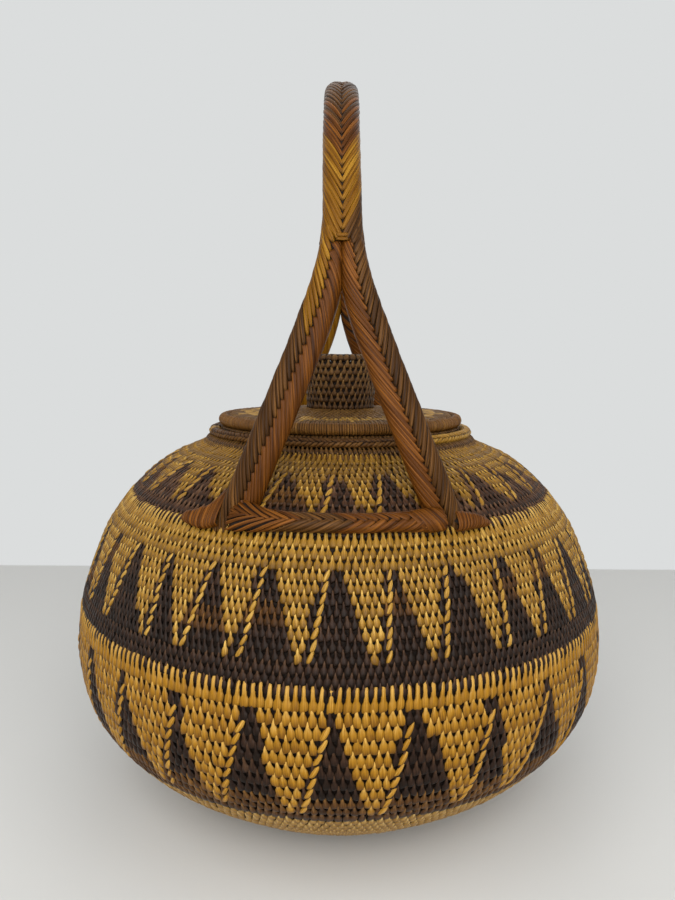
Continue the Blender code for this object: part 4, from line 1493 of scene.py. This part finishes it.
@dataclass
class Handle:
    """The forked handle: its bindings, bars and lashings, front and rear.

    Strips change colour at an angle or a length, each given with its spread. The bar's end is the
    first, the last and the step of the strips laid over its right end, counted from that end.
    """

    wall: Wall
    filling_sink: float = 0.0007
    stem_yellow: Pair = (-37.0, 1.2)
    stem_grey: Pair = (-27.0, 2.0)
    fork_grey: float = -54.4
    knuckle_places: Pair = (0.0006, 0.0024)
    knuckle_share: float = 0.055
    knuckle_width: float = 0.0017
    leg_yellow: Pair = (0.054, 0.002)
    bar_grey_shares: Pair = (0.36, 0.58)
    bar_grey_spread: float = 0.004
    bar_end: tuple[float, float, float] = (-0.005, 0.014, 0.0021)
    bar_end_run: float = 0.018
    bar_end_width: float = 0.0019
    wrap_pitch: float = 0.0017
    wrap_width: float = 0.0018
    wrap_slants: Pair = (0.0014, 0.0022)

    def __post_init__(self) -> None:
        """Work out the path."""
        self.arch = Arch(self.wall)
        self.rng = np.random.default_rng(SEED + 2)

    def bind(self, sleeve: Sleeve, halves: list[tuple[Finish, Strands]], front: str,
             rear: str | None = None, rear_finishes: dict[Finish, Finish] | None = None) -> None:
        """Dress one member, and its twin at the rear: the filling, and the strips by finish.

        Args:
            sleeve: The member.
            halves: Strips with their finishes.
            front: CAD node of the front member.
            rear: CAD node of the rear one, which is the front one turned by half a turn.
            rear_finishes: Finishes that differ at the rear.
        """
        half_turn = Matrix.Rotation(math.pi, 4, "Z")
        for node, turned in ((front, False), (rear, True))[:2 if rear else 1]:
            filling = sleeve.filling(f"{node}_filling", self.filling_sink)
            if turned:
                filling.data.transform(half_turn)
            # The filling is painted near-black, as shade between the strips
            dress(filling, Finish.CORE, "basket", node)
        for finish in dict.fromkeys(kind for kind, _ in halves):
            strips = Strands.join([strands for kind, strands in halves if kind is finish])
            if not len(strips.tone):
                continue
            strips.points = self.wall.keep_out(strips.points)
            dress(strips.object(f"{front}_{finish.name.lower()}"), finish, "basket", front)
            if rear:
                finish = (rear_finishes or {}).get(finish, finish)
                strips.points = self.wall.keep_out(strips.points * (-1.0, -1.0, 1.0))
                dress(strips.object(f"{rear}_{finish.name.lower()}"), finish, "basket", rear)

    def build_stem(self) -> None:
        """Bind the stem in a chevron that points to the front, closed by knuckles at the fork."""
        sleeve = self.arch.stem()
        halves = []
        for half in (-1, 1):
            strips, at = sleeve.half_weave(half, STEM_WEAVE, self.rng)
            angle = np.interp(at, [0.0, sleeve.total], [self.arch.stem_end, -self.arch.stem_end])
            last_yellow, first_grey = (place + self.rng.normal(0.0, spread, len(at))
                                       for place, spread in (self.stem_yellow, self.stem_grey))
            grey = (angle > first_grey) | ((angle < self.fork_grey) & (half > 0))
            yellow = (angle < last_yellow) & ~grey
            halves += [(Finish.GOLD_CANE, strips.pick(yellow)), (Finish.GREY_CANE, strips.pick(grey)),
                       (Finish.RED_CANE, strips.pick(~yellow & ~grey))]
        for place in self.knuckle_places:
            for length in (place, sleeve.total - place):
                ends = np.array([[length, -self.knuckle_share], [length, self.knuckle_share]])
                halves.append((Finish.GOLD_CANE, sleeve.strips(
                    ends[:1], ends[1:], self.knuckle_width, self.rng, KNUCKLE)))
        self.bind(sleeve, halves, "arch_binding")

    def build_legs(self) -> None:
        """Bind the four legs; the rear left one is yellow all over."""
        for side in Side:
            sleeve = self.arch.leg(side)
            outer_weave, inner_weave = LEG_WEAVES[side]
            outer, at = sleeve.half_weave(-1, outer_weave, self.rng)
            inner, _ = sleeve.half_weave(1, inner_weave, self.rng)
            length, spread = self.leg_yellow
            yellow = (at < length + self.rng.normal(0.0, spread, len(at))) & (side is Side.LEFT)
            halves = [(Finish.GOLD_CANE, outer.pick(yellow)), (Finish.GREY_CANE, outer.pick(~yellow)),
                      (Finish.RED_CANE, inner)]
            rear_finishes = {} if side is Side.LEFT else {
                Finish.GREY_CANE: Finish.GOLD_CANE, Finish.RED_CANE: Finish.GOLD_CANE}
            self.bind(sleeve, halves, f"leg_binding_front_{side.name.lower()}",
                      f"leg_binding_rear_{side.turned.name.lower()}", rear_finishes)

    def build_bars(self) -> None:
        """Bind the front and rear bars, and lay the leg's slanted strips over their right end."""
        sleeve = self.arch.bar()
        halves = []
        for half, weave in BAR_WEAVES.items():
            strips, at = sleeve.half_weave(half, weave, self.rng)
            first, last = (share * sleeve.total for share in self.bar_grey_shares)
            grey = (at > first) & (at < last + self.rng.normal(0.0, self.bar_grey_spread, len(at)))
            halves += [(Finish.GREY_CANE, strips.pick(grey)), (Finish.RED_CANE, strips.pick(~grey))]
        places = sleeve.total - np.arange(*self.bar_end)
        start = np.stack([places - 0.5 * self.bar_end_run, np.full(len(places), 0.5)], -1)
        run = np.tile([self.bar_end_run, -1.0], (len(places), 1))
        run *= np.minimum(1.0, (sleeve.total - start[:, :1]) / run[:, :1])
        halves.append((Finish.RED_CANE, sleeve.strips(
            start, start + run, self.bar_end_width, self.rng, BAR_END_STRIP)))
        self.bind(sleeve, halves, "front_bar_binding", "rear_bar_binding")

    def build_lashings(self) -> None:
        """Wrap the four tails, closely and nearly upright."""
        for side, slant in zip(Side, self.wrap_slants):
            sleeve = self.arch.tail(side)
            at = np.arange(0.5 * MM, sleeve.total, self.wrap_pitch)
            start, end = (np.stack([np.clip(at + way * slant, 0.0, sleeve.total),
                                    np.full(len(at), 0.5 * way)], -1) for way in (-1, 1))
            strips = sleeve.strips(start, end, self.wrap_width, self.rng, TAIL_WRAP)
            self.bind(sleeve, [(Finish.RED_CANE, strips)], f"foot_lashing_front_{side.name.lower()}",
                      f"foot_lashing_rear_{side.turned.name.lower()}")

    def build(self) -> None:
        """Bind every member of the handle."""
        self.build_stem()
        self.build_legs()
        self.build_bars()
        self.build_lashings()


def ring_outline(middle: Pair, size: Pair, start: float, end: float, points: int) -> Array:
    """Outline of an oval ring's section, from one angle to another.

    Args:
        middle: Radius and height of the ring's middle, in millimetres.
        size: Half width and half height of the section.
        start: First angle in degrees; 0 faces outward and 90 up.
        end: Last angle.
        points: Points made.

    Returns:
        The (radius, height) points in millimetres.
    """
    angle = np.radians(np.linspace(start, end, points))
    return np.array(middle) + np.stack([np.cos(angle), np.sin(angle)], -1) * size


def turned_points(outline: Array | Pairs, steps: int = 96) -> Array:
    """Turn a closed outline round the axis.

    Args:
        outline: (radius, height) points in millimetres.
        steps: Facets in the round.

    Returns:
        Places, (outline point, facet, 3).
    """
    turn = np.arange(steps) * math.tau / steps
    radius, height = np.array(outline).T[..., None] * MM
    return np.stack(np.broadcast_arrays(radius * np.sin(turn), -radius * np.cos(turn), height), -1)


def build_filling(name: str, outline: Array | Pairs, body: str, node: str) -> None:
    """Make the coil bundle under a ring's stitches, painted near-black as shade.

    Args:
        name: Name of the piece.
        outline: Closed outline, (radius, height) in millimetres.
        body: CAD body that it rides on.
        node: CAD node that it stands for.
    """
    dress(lattice_object(name, turned_points(outline), closed_rows=True), Finish.CORE, body, node)


def turned_surface(outline: Array | Pairs) -> TurnedSurface:
    """The surface of revolution of an outline in millimetres."""
    return TurnedSurface(np.array(outline) * MM)


def build_stitches(name: str, groups: list[Strands], finish: Finish, body: str, node: str) -> None:
    """Make one piece of several groups of stitches.

    Args:
        name: Name of the piece.
        groups: The stitches.
        finish: Their finish.
        body: CAD body that they ride on.
        node: CAD node that they stand for.
    """
    dress(Strands.join(groups).object(name), finish, body, node)


def within(values: Array, ranges: Pairs) -> Array:
    """Find the values that lie in any of some ranges.

    Args:
        values: The values.
        ranges: Lower and upper end of each range.

    Returns:
        Mask over the values.
    """
    inside = np.zeros(len(values), bool)
    for low, high in ranges:
        inside |= (values >= low) & (values < high)
    return inside


@dataclass
class Mouth:
    """The leaning collar, the braid on it and the upright neck; outlines in millimetres.

    The neck's rows are the one outside and the one over the edge. The braid is undyed between the given
    turns in degrees.
    """

    collar_filling: Pairs = ((75.2, 188.9), (72.0, 192.4), (67.0, 192.4), (67.0, 186.6), (73.0, 186.6))
    collar_face: Pairs = ((76.4, 188.3), (75.6, 189.3), (72.4, 192.8), (71.0, 193.3))
    collar_rows: int = 2
    collar_stitches: int = 205
    braid_middle: Pair = (69.7, 195.3)
    braid_filling_size: Pair = (2.3, 1.6)
    braid_size: Pair = (2.9, 2.15)
    braid_rows: int = 3
    braid_strokes: int = 172
    braid_lean: float = 1.5
    braid_undyed: Pairs = ((-82.0, -74.0), (35.0, 95.0))
    neck_filling: Pairs = ((66.0, 186.0), (66.0, 197.3), (63.3, 197.3), (63.3, 186.0))
    neck_face: Pairs = ((66.3, 191.5), (66.3, 197.0), (65.9, 197.6), (65.2, 197.8), (64.2, 197.8),
                        (63.5, 197.6), (63.1, 197.0), (63.1, 186.0))
    neck_rows: Pair = (5.3 * MM, 4.3 * MM)
    neck_stitches: int = 200

    def __post_init__(self) -> None:
        """Start the source of the small irregularities."""
        self.rng = np.random.default_rng(SEED + 1)

    def build(self) -> None:
        """Sew the three rings."""
        self.build_collar()
        self.build_braid()
        self.build_neck()

    def build_collar(self) -> None:
        """Sew the collar's rows over its bundle."""
        build_filling("neck_collar_core", self.collar_filling, "basket", "neck_collar")
        face = turned_surface(self.collar_face)
        rows = laid_rows(face.total, -face.total / self.collar_rows, self.collar_stitches,
                         self.collar_rows)
        build_stitches("neck_collar_stitches", [
            sew(face, row, LONG_STITCH, self.rng, lean=0.3, tone=0.55, wobble=0.7)
            for row in rows], Finish.FADED, "basket", "neck_collar")

    def build_braid(self) -> None:
        """Lay the braid: slanted strokes that meet in a herringbone, with two undyed lengths."""
        filling = ring_outline(self.braid_middle, self.braid_filling_size, 0.0, 340.0, 18)
        build_filling("rim_braid_core", filling, "basket", "rim_braid")
        oval = turned_surface(ring_outline(self.braid_middle, self.braid_size, -75.0, 215.0, 40))
        groups = {Finish.BROWN: [], Finish.STRAW: []}
        for row in laid_rows(oval.total, -oval.total / self.braid_rows, self.braid_strokes,
                             self.braid_rows):
            degrees = (np.arange(row.count) * 360.0 / row.count + 180.0) % 360.0 - 180.0
            undyed = within(degrees, self.braid_undyed)
            for finish, chosen in ((Finish.STRAW, undyed), (Finish.BROWN, ~undyed)):
                groups[finish].append(sew(
                    oval, row, STROKE, self.rng, np.flatnonzero(chosen), tone=0.55,
                    lean=self.braid_lean if row.offset else -self.braid_lean))
        for finish, strokes in groups.items():
            build_stitches(f"rim_braid_{finish.name.lower()}", strokes, finish, "basket", "rim_braid")

    def build_neck(self) -> None:
        """Sew the neck inside and outside and over its edge."""
        build_filling("neck_wall_core", self.neck_filling, "basket", "neck_wall")
        face = turned_surface(self.neck_face)
        outside, edge = self.neck_rows
        inside = 0.5 * (face.total - outside - edge)
        rows = [Row(outside, outside, self.neck_stitches, 0.0),
                Row(outside + edge, edge, self.neck_stitches, 0.5),
                *laid_rows(outside + edge + inside, inside, self.neck_stitches, 2)]
        build_stitches("neck_wall_stitches", [
            sew(face, row, WRAP, self.rng, tone=0.45) for row in rows], Finish.FADED, "basket",
            "neck_wall")


# Undyed shares of the lid motif's repeat, by row from the rim
LID_MOTIF: dict[int, Pairs] = {
    1: ((0.12, 0.24),), 2: ((0.0, 0.93),), 3: ((0.0, 0.34), (0.56, 0.68))}


@dataclass
class Lid:
    """The coiled lid with its wrapped rim, seat ring and drum knob; outlines in millimetres.

    The motif of undyed patches repeats round the plate, and its place differs from row to row by a
    share of the repeat. The knob's tones are that of its lowest row and what is added up to the top, a
    painted shade that darkens the knob towards its foot.
    """

    rim_middle: Pair = (64.3, 201.3)
    rim_filling_size: Pair = (2.6, 2.5)
    rim_size: Pair = (3.15, 3.05)
    rim_wraps: int = 350
    plate_filling: Pairs = ((60.4, 200.4), (60.4, 203.3), (21.2, 206.3), (0.3, 206.3), (0.3, 203.0),
                            (21.2, 203.0))
    plate_face: Pairs = ((61.2, 203.6), (60.6, 204.1), (21.2, 207.1), (17.0, 207.3))
    plate_rows: int = 10
    plate_pitch: float = 2.2 * MM
    motif_repeats: int = 14
    motif_spread: float = 0.07
    underside: Pairs = ((0.3, 201.6), (21.2, 201.6), (60.4, 199.0))
    underside_back: float = 1.6
    coil_pitch: float = 4.1
    coil_ridge: float = 0.7
    ring_steps: int = 6
    seat_filling: Pairs = ((61.1, 190.4), (61.1, 198.8), (59.0, 198.8), (59.0, 190.4))
    seat_face: Pairs = ((58.75, 197.0), (58.75, 190.5), (59.4, 190.1), (60.8, 190.1), (61.35, 190.6),
                        (61.35, 198.0))
    seat_wraps: int = 180
    drum_filling: Pairs = ((17.5, 207.4), (18.8, 232.9), (16.2, 232.9), (15.2, 207.4))
    drum_height: float = 26.3 * MM
    cap_filling: Pairs = ((18.6, 233.2), (18.6, 234.6), (17.4, 235.5), (0.3, 235.6), (0.3, 233.2))
    knob_foot: Pair = (18.2, 207.5)
    knob_edge: Pair = (17.6, 234.0)
    knob_edge_size: Pair = (2.0, 2.2)
    knob_tip: Pair = (0.4, 236.3)
    knob_rows: int = 7
    knob_stitches: int = 37
    knob_tones: Pair = (0.3, 0.4)
    cap_row: float = 4.3 * MM
    cap_pitch: float = 3.2 * MM

    def __post_init__(self) -> None:
        """Start the source of the small irregularities."""
        self.rng = np.random.default_rng(SEED + 3)

    def build(self) -> None:
        """Sew the lid from its rim to its knob."""
        self.build_rim()
        self.build_plate()
        self.build_seat()
        self.build_knob()

    def wrap_ring(self, name: str, node: str, face: TurnedSurface, wraps: int, wobble: float) -> None:
        """Wrap a ring closely, each wrap round the whole of its face.

        Args:
            name: Name of the piece.
            node: CAD node that the wraps stand for.
            face: What they lie on.
            wraps: Wraps in the round.
            wobble: Size of the irregularities.
        """
        row = Row(face.total, face.total, wraps, 0.0)
        stitches = sew(face, row, RIM_WRAP, self.rng, lean=0.5, wobble=wobble)
        build_stitches(name, [stitches], Finish.FADED_WARM, "lid", node)

    def build_rim(self) -> None:
        """Wrap the rim."""
        filling = ring_outline(self.rim_middle, self.rim_filling_size, 0.0, 345.0, 24)
        build_filling("lid_rim_core", filling, "lid", "lid_rim_wrap")
        oval = turned_surface(ring_outline(self.rim_middle, self.rim_size, -120.0, 200.0, 60))
        self.wrap_ring("lid_rim_wraps", "lid_rim_wrap", oval, self.rim_wraps, 0.8)

    def build_plate(self) -> None:
        """Sew the plate's rows, with the ring of undyed patches."""
        build_filling("lid_plate_core", self.plate_filling, "lid", "lid_plate")
        self.build_underside()
        face = turned_surface(self.plate_face)
        step = face.total / self.plate_rows
        groups = {Finish.FADED: [], Finish.STRAW: []}
        for number, row in enumerate(spaced_rows(face, step, step, self.plate_pitch, self.plate_rows)):
            shift = self.motif_spread * self.rng.normal()
            place = (np.arange(row.count) / row.count * self.motif_repeats + shift) % 1.0
            undyed = within(place, LID_MOTIF.get(number, ()))
            for finish, chosen in ((Finish.STRAW, undyed), (Finish.FADED, ~undyed)):
                groups[finish].append(sew(face, row, FINE, self.rng, np.flatnonzero(chosen), tone=0.62))
        for finish, stitches in groups.items():
            build_stitches(f"lid_plate_{finish.name.lower()}", stitches, finish, "lid", "lid_plate")

    def build_underside(self) -> None:
        """Make the plate's lower face, ridged by its coils."""
        coils = round(self.underside[-1][0] / self.coil_pitch)
        phase = np.arange(coils * self.ring_steps + 1) / self.ring_steps
        radius = np.linspace(self.underside[0][0], self.underside[-1][0], len(phase))
        height = read_table(self.underside, radius)
        ridge = np.abs(np.sin(math.pi * phase))
        lower = np.stack([radius, height - self.coil_ridge * ridge], -1)
        upper = np.stack([radius, height + self.underside_back], -1)[::-1]
        points = turned_points(np.vstack([lower, upper]))
        item = lattice_object("lid_plate_underside", points, closed_rows=True)
        # Painted shade in the valleys between the coils' ridges
        soil = CREVICE_PAINTED_SHADE * (1.0 - ridge) ** 2
        mark_strands(item, points, np.concatenate([radius, radius[::-1]]) * MM,
                     np.concatenate([soil, soil[::-1]]))
        dress(item, Finish.LINING, "lid", "lid_plate")

    def build_seat(self) -> None:
        """Wrap the seat ring."""
        build_filling("lid_seat_core", self.seat_filling, "lid", "lid_seat_ring")
        face = turned_surface(self.seat_face)
        self.wrap_ring("lid_seat_wraps", "lid_seat_ring", face, self.seat_wraps, 1.0)

    def build_knob(self) -> None:
        """Sew the drum and its closed top."""
        build_filling("knob_wall_core", self.drum_filling, "lid", "knob_wall")
        build_filling("knob_cap_core", self.cap_filling, "lid", "knob_cap")
        edge = ring_outline(self.knob_edge, self.knob_edge_size, 0.0, 90.0, 12)
        face = turned_surface(np.vstack([[self.knob_foot], edge, [self.knob_tip]]))
        step = self.drum_height / self.knob_rows
        # The knob's rows are painted darker towards its foot, as painted shade
        darkest, added = self.knob_tones
        build_stitches("knob_wall_stitches", [
            sew(face, row, LONG_STITCH, self.rng, lean=-0.1, tone=darkest + added * k / self.knob_rows)
            for k, row in enumerate(laid_rows(step, step, self.knob_stitches, self.knob_rows))],
            Finish.FADED, "lid", "knob_wall")
        count = round((face.total - self.drum_height) / self.cap_row)
        step = (face.total - self.drum_height) / count
        first, *rows = spaced_rows(face, self.drum_height + step, step, self.cap_pitch, count, least=6)
        rows.insert(0, replace(first, count=self.knob_stitches))
        build_stitches("knob_cap_stitches", [sew(face, row, STITCH, self.rng, tone=0.6)
                                             for row in rows], Finish.FADED, "lid", "knob_cap")


def seen_directly(tree: NodeTree) -> NodeSocket:
    """Add the nodes that tell what is seen directly.

    Args:
        tree: Node tree that gets the nodes.

    Returns:
        Output that is 1 for rays from the camera, or seen in gloss or through glass.
    """
    path = add_node(tree, "LightPath")
    shine = add_node(tree, "Math", {
        0: path.outputs["Is Glossy Ray"], 1: path.outputs["Is Transmission Ray"]},
        operation="MAXIMUM")
    return add_node(tree, "Math", {
        0: path.outputs["Is Camera Ray"], 1: shine.outputs["Value"]},
        operation="MAXIMUM").outputs["Value"]


@dataclass(frozen=True)
class Lamp:
    """One soft round lamp: its name, place, size across and power in watts."""

    name: str
    place: tuple[float, float, float]
    size: float
    watts: float


LAMPS = (
    Lamp("left", (-0.55, -0.85, 1.10), 1.0, 7.4), Lamp("right", (0.60, -0.75, 1.05), 1.0, 5.8),
    Lamp("front", (0.0, -1.10, 0.48), 1.2, 13.2), Lamp("rear", (0.10, 0.95, 1.15), 1.2, 2.8))


@dataclass(frozen=True)
class Studio:
    """Pale floor and backdrop, soft lights and the camera."""

    floor_back: float = 0.3706
    floor_side: float = 0.62
    floor_size: float = 30.0
    floor_colour: str = "#CFCFCC"
    floor_roughness: float = 0.6
    wall_colour: str = "#DBDDDD"
    fill_strength: float = 0.32
    aim_height: float = 0.12
    lens: float = 28.0
    sensor: float = 36.0
    camera_distance: float = 0.394
    camera_side: float = -0.0014
    camera_height: float = 0.2349
    pitch: float = 0.1311
    roll: float = 0.007

    def make_floor(self) -> None:
        """Lay the floor; past its back edge it shows the backdrop's colour."""
        bpy.ops.mesh.primitive_plane_add(size=self.floor_size)
        floor = bpy.context.object
        floor.name = "floor"
        made, tree, shader = new_material("painted_board_floor")
        shader.inputs["Base Color"].default_value = hex_to_linear(self.floor_colour)
        shader.inputs["Roughness"].default_value = self.floor_roughness
        place = add_node(tree, "TexCoord")
        parts = add_node(tree, "SeparateXYZ", {"Vector": place.outputs["Object"]})
        beyond = []
        for axis, limit in (("X", self.floor_side), ("Y", self.floor_back)):
            away = add_node(tree, "Math", {0: parts.outputs[axis]}, operation="ABSOLUTE")
            edge = add_node(tree, "MapRange", {
                "Value": away.outputs["Value"], "From Min": limit, "From Max": limit * 1.01})
            beyond.append(edge.outputs["Result"])
        outside = add_node(tree, "Math", {0: beyond[0], 1: beyond[1]}, operation="MAXIMUM")
        shown = add_node(tree, "Math", {
            0: outside.outputs["Value"], 1: seen_directly(tree)}, operation="MULTIPLY")
        backdrop = add_node(tree, "Emission", {"Color": hex_to_linear(self.wall_colour)})
        mix = add_node(tree, "MixShader", {
            0: shown.outputs["Value"], 1: shader.outputs["BSDF"], 2: backdrop.outputs["Emission"]})
        tree.links.new(mix.outputs["Shader"], tree.nodes["Material Output"].inputs["Surface"])
        floor.data.materials.append(made)

    def make_world(self) -> None:
        """Fill light from all round, with the backdrop's colour to the camera."""
        world = bpy.data.worlds.new("studio")
        bpy.context.scene.world = world
        world.use_nodes = True
        tree = world.node_tree
        fill = add_node(tree, "Background", {
            "Color": (1.0, 1.0, 1.0, 1.0), "Strength": self.fill_strength})
        shown = add_node(tree, "Background", {"Color": hex_to_linear(self.wall_colour)})
        mix = add_node(tree, "MixShader", {
            0: seen_directly(tree), 1: fill.outputs["Background"],
            2: shown.outputs["Background"]})
        tree.links.new(mix.outputs["Shader"], tree.nodes["World Output"].inputs["Surface"])

    def make_lamp(self, lamp: Lamp) -> None:
        """Hang a lamp and aim it at the basket's middle.

        Args:
            lamp: The lamp.
        """
        data = bpy.data.lights.new(lamp.name, "AREA")
        data.shape = "DISK"
        data.size = lamp.size
        data.energy = lamp.watts
        item = bpy.data.objects.new(lamp.name, data)
        item.location = lamp.place
        aim = Vector((0.0, 0.0, self.aim_height)) - Vector(lamp.place)
        item.rotation_euler = aim.to_track_quat("-Z", "Y").to_euler()
        bpy.context.scene.collection.objects.link(item)

    def make_camera(self) -> None:
        """Set the camera at the photograph's place, tilt and roll."""
        data = bpy.data.cameras.new("camera")
        data.sensor_width = self.sensor
        data.lens = self.lens
        data.clip_start = 0.01
        camera = bpy.data.objects.new("camera", data)
        camera.matrix_world = (
            Matrix.Translation((self.camera_side, -self.camera_distance, self.camera_height))
            @ Matrix.Rotation(math.pi / 2.0 - self.pitch, 4, "X")
            @ Matrix.Rotation(self.roll, 4, "Z"))
        bpy.context.scene.collection.objects.link(camera)
        bpy.context.scene.camera = camera

    def build(self) -> None:
        """Make the whole stage."""
        self.make_floor()
        self.make_world()
        for lamp in LAMPS:
            self.make_lamp(lamp)
        self.make_camera()
        bpy.context.scene.view_settings.view_transform = "Standard"


def main() -> None:
    """Build the stage and every part of the basket."""
    logging.basicConfig(level=logging.INFO, format="%(name)s %(message)s")
    Studio().build()
    wall = Wall()
    wall.build()
    Mouth().build()
    Lid().build()
    Handle(wall).build()
    for name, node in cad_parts.items():
        if name.startswith("cane_") or name.endswith("_core"):
            for slot in node.material_slots:
                slot.material = material_of(Finish.BARE_CANE)


if __name__ == "__main__":
    main()
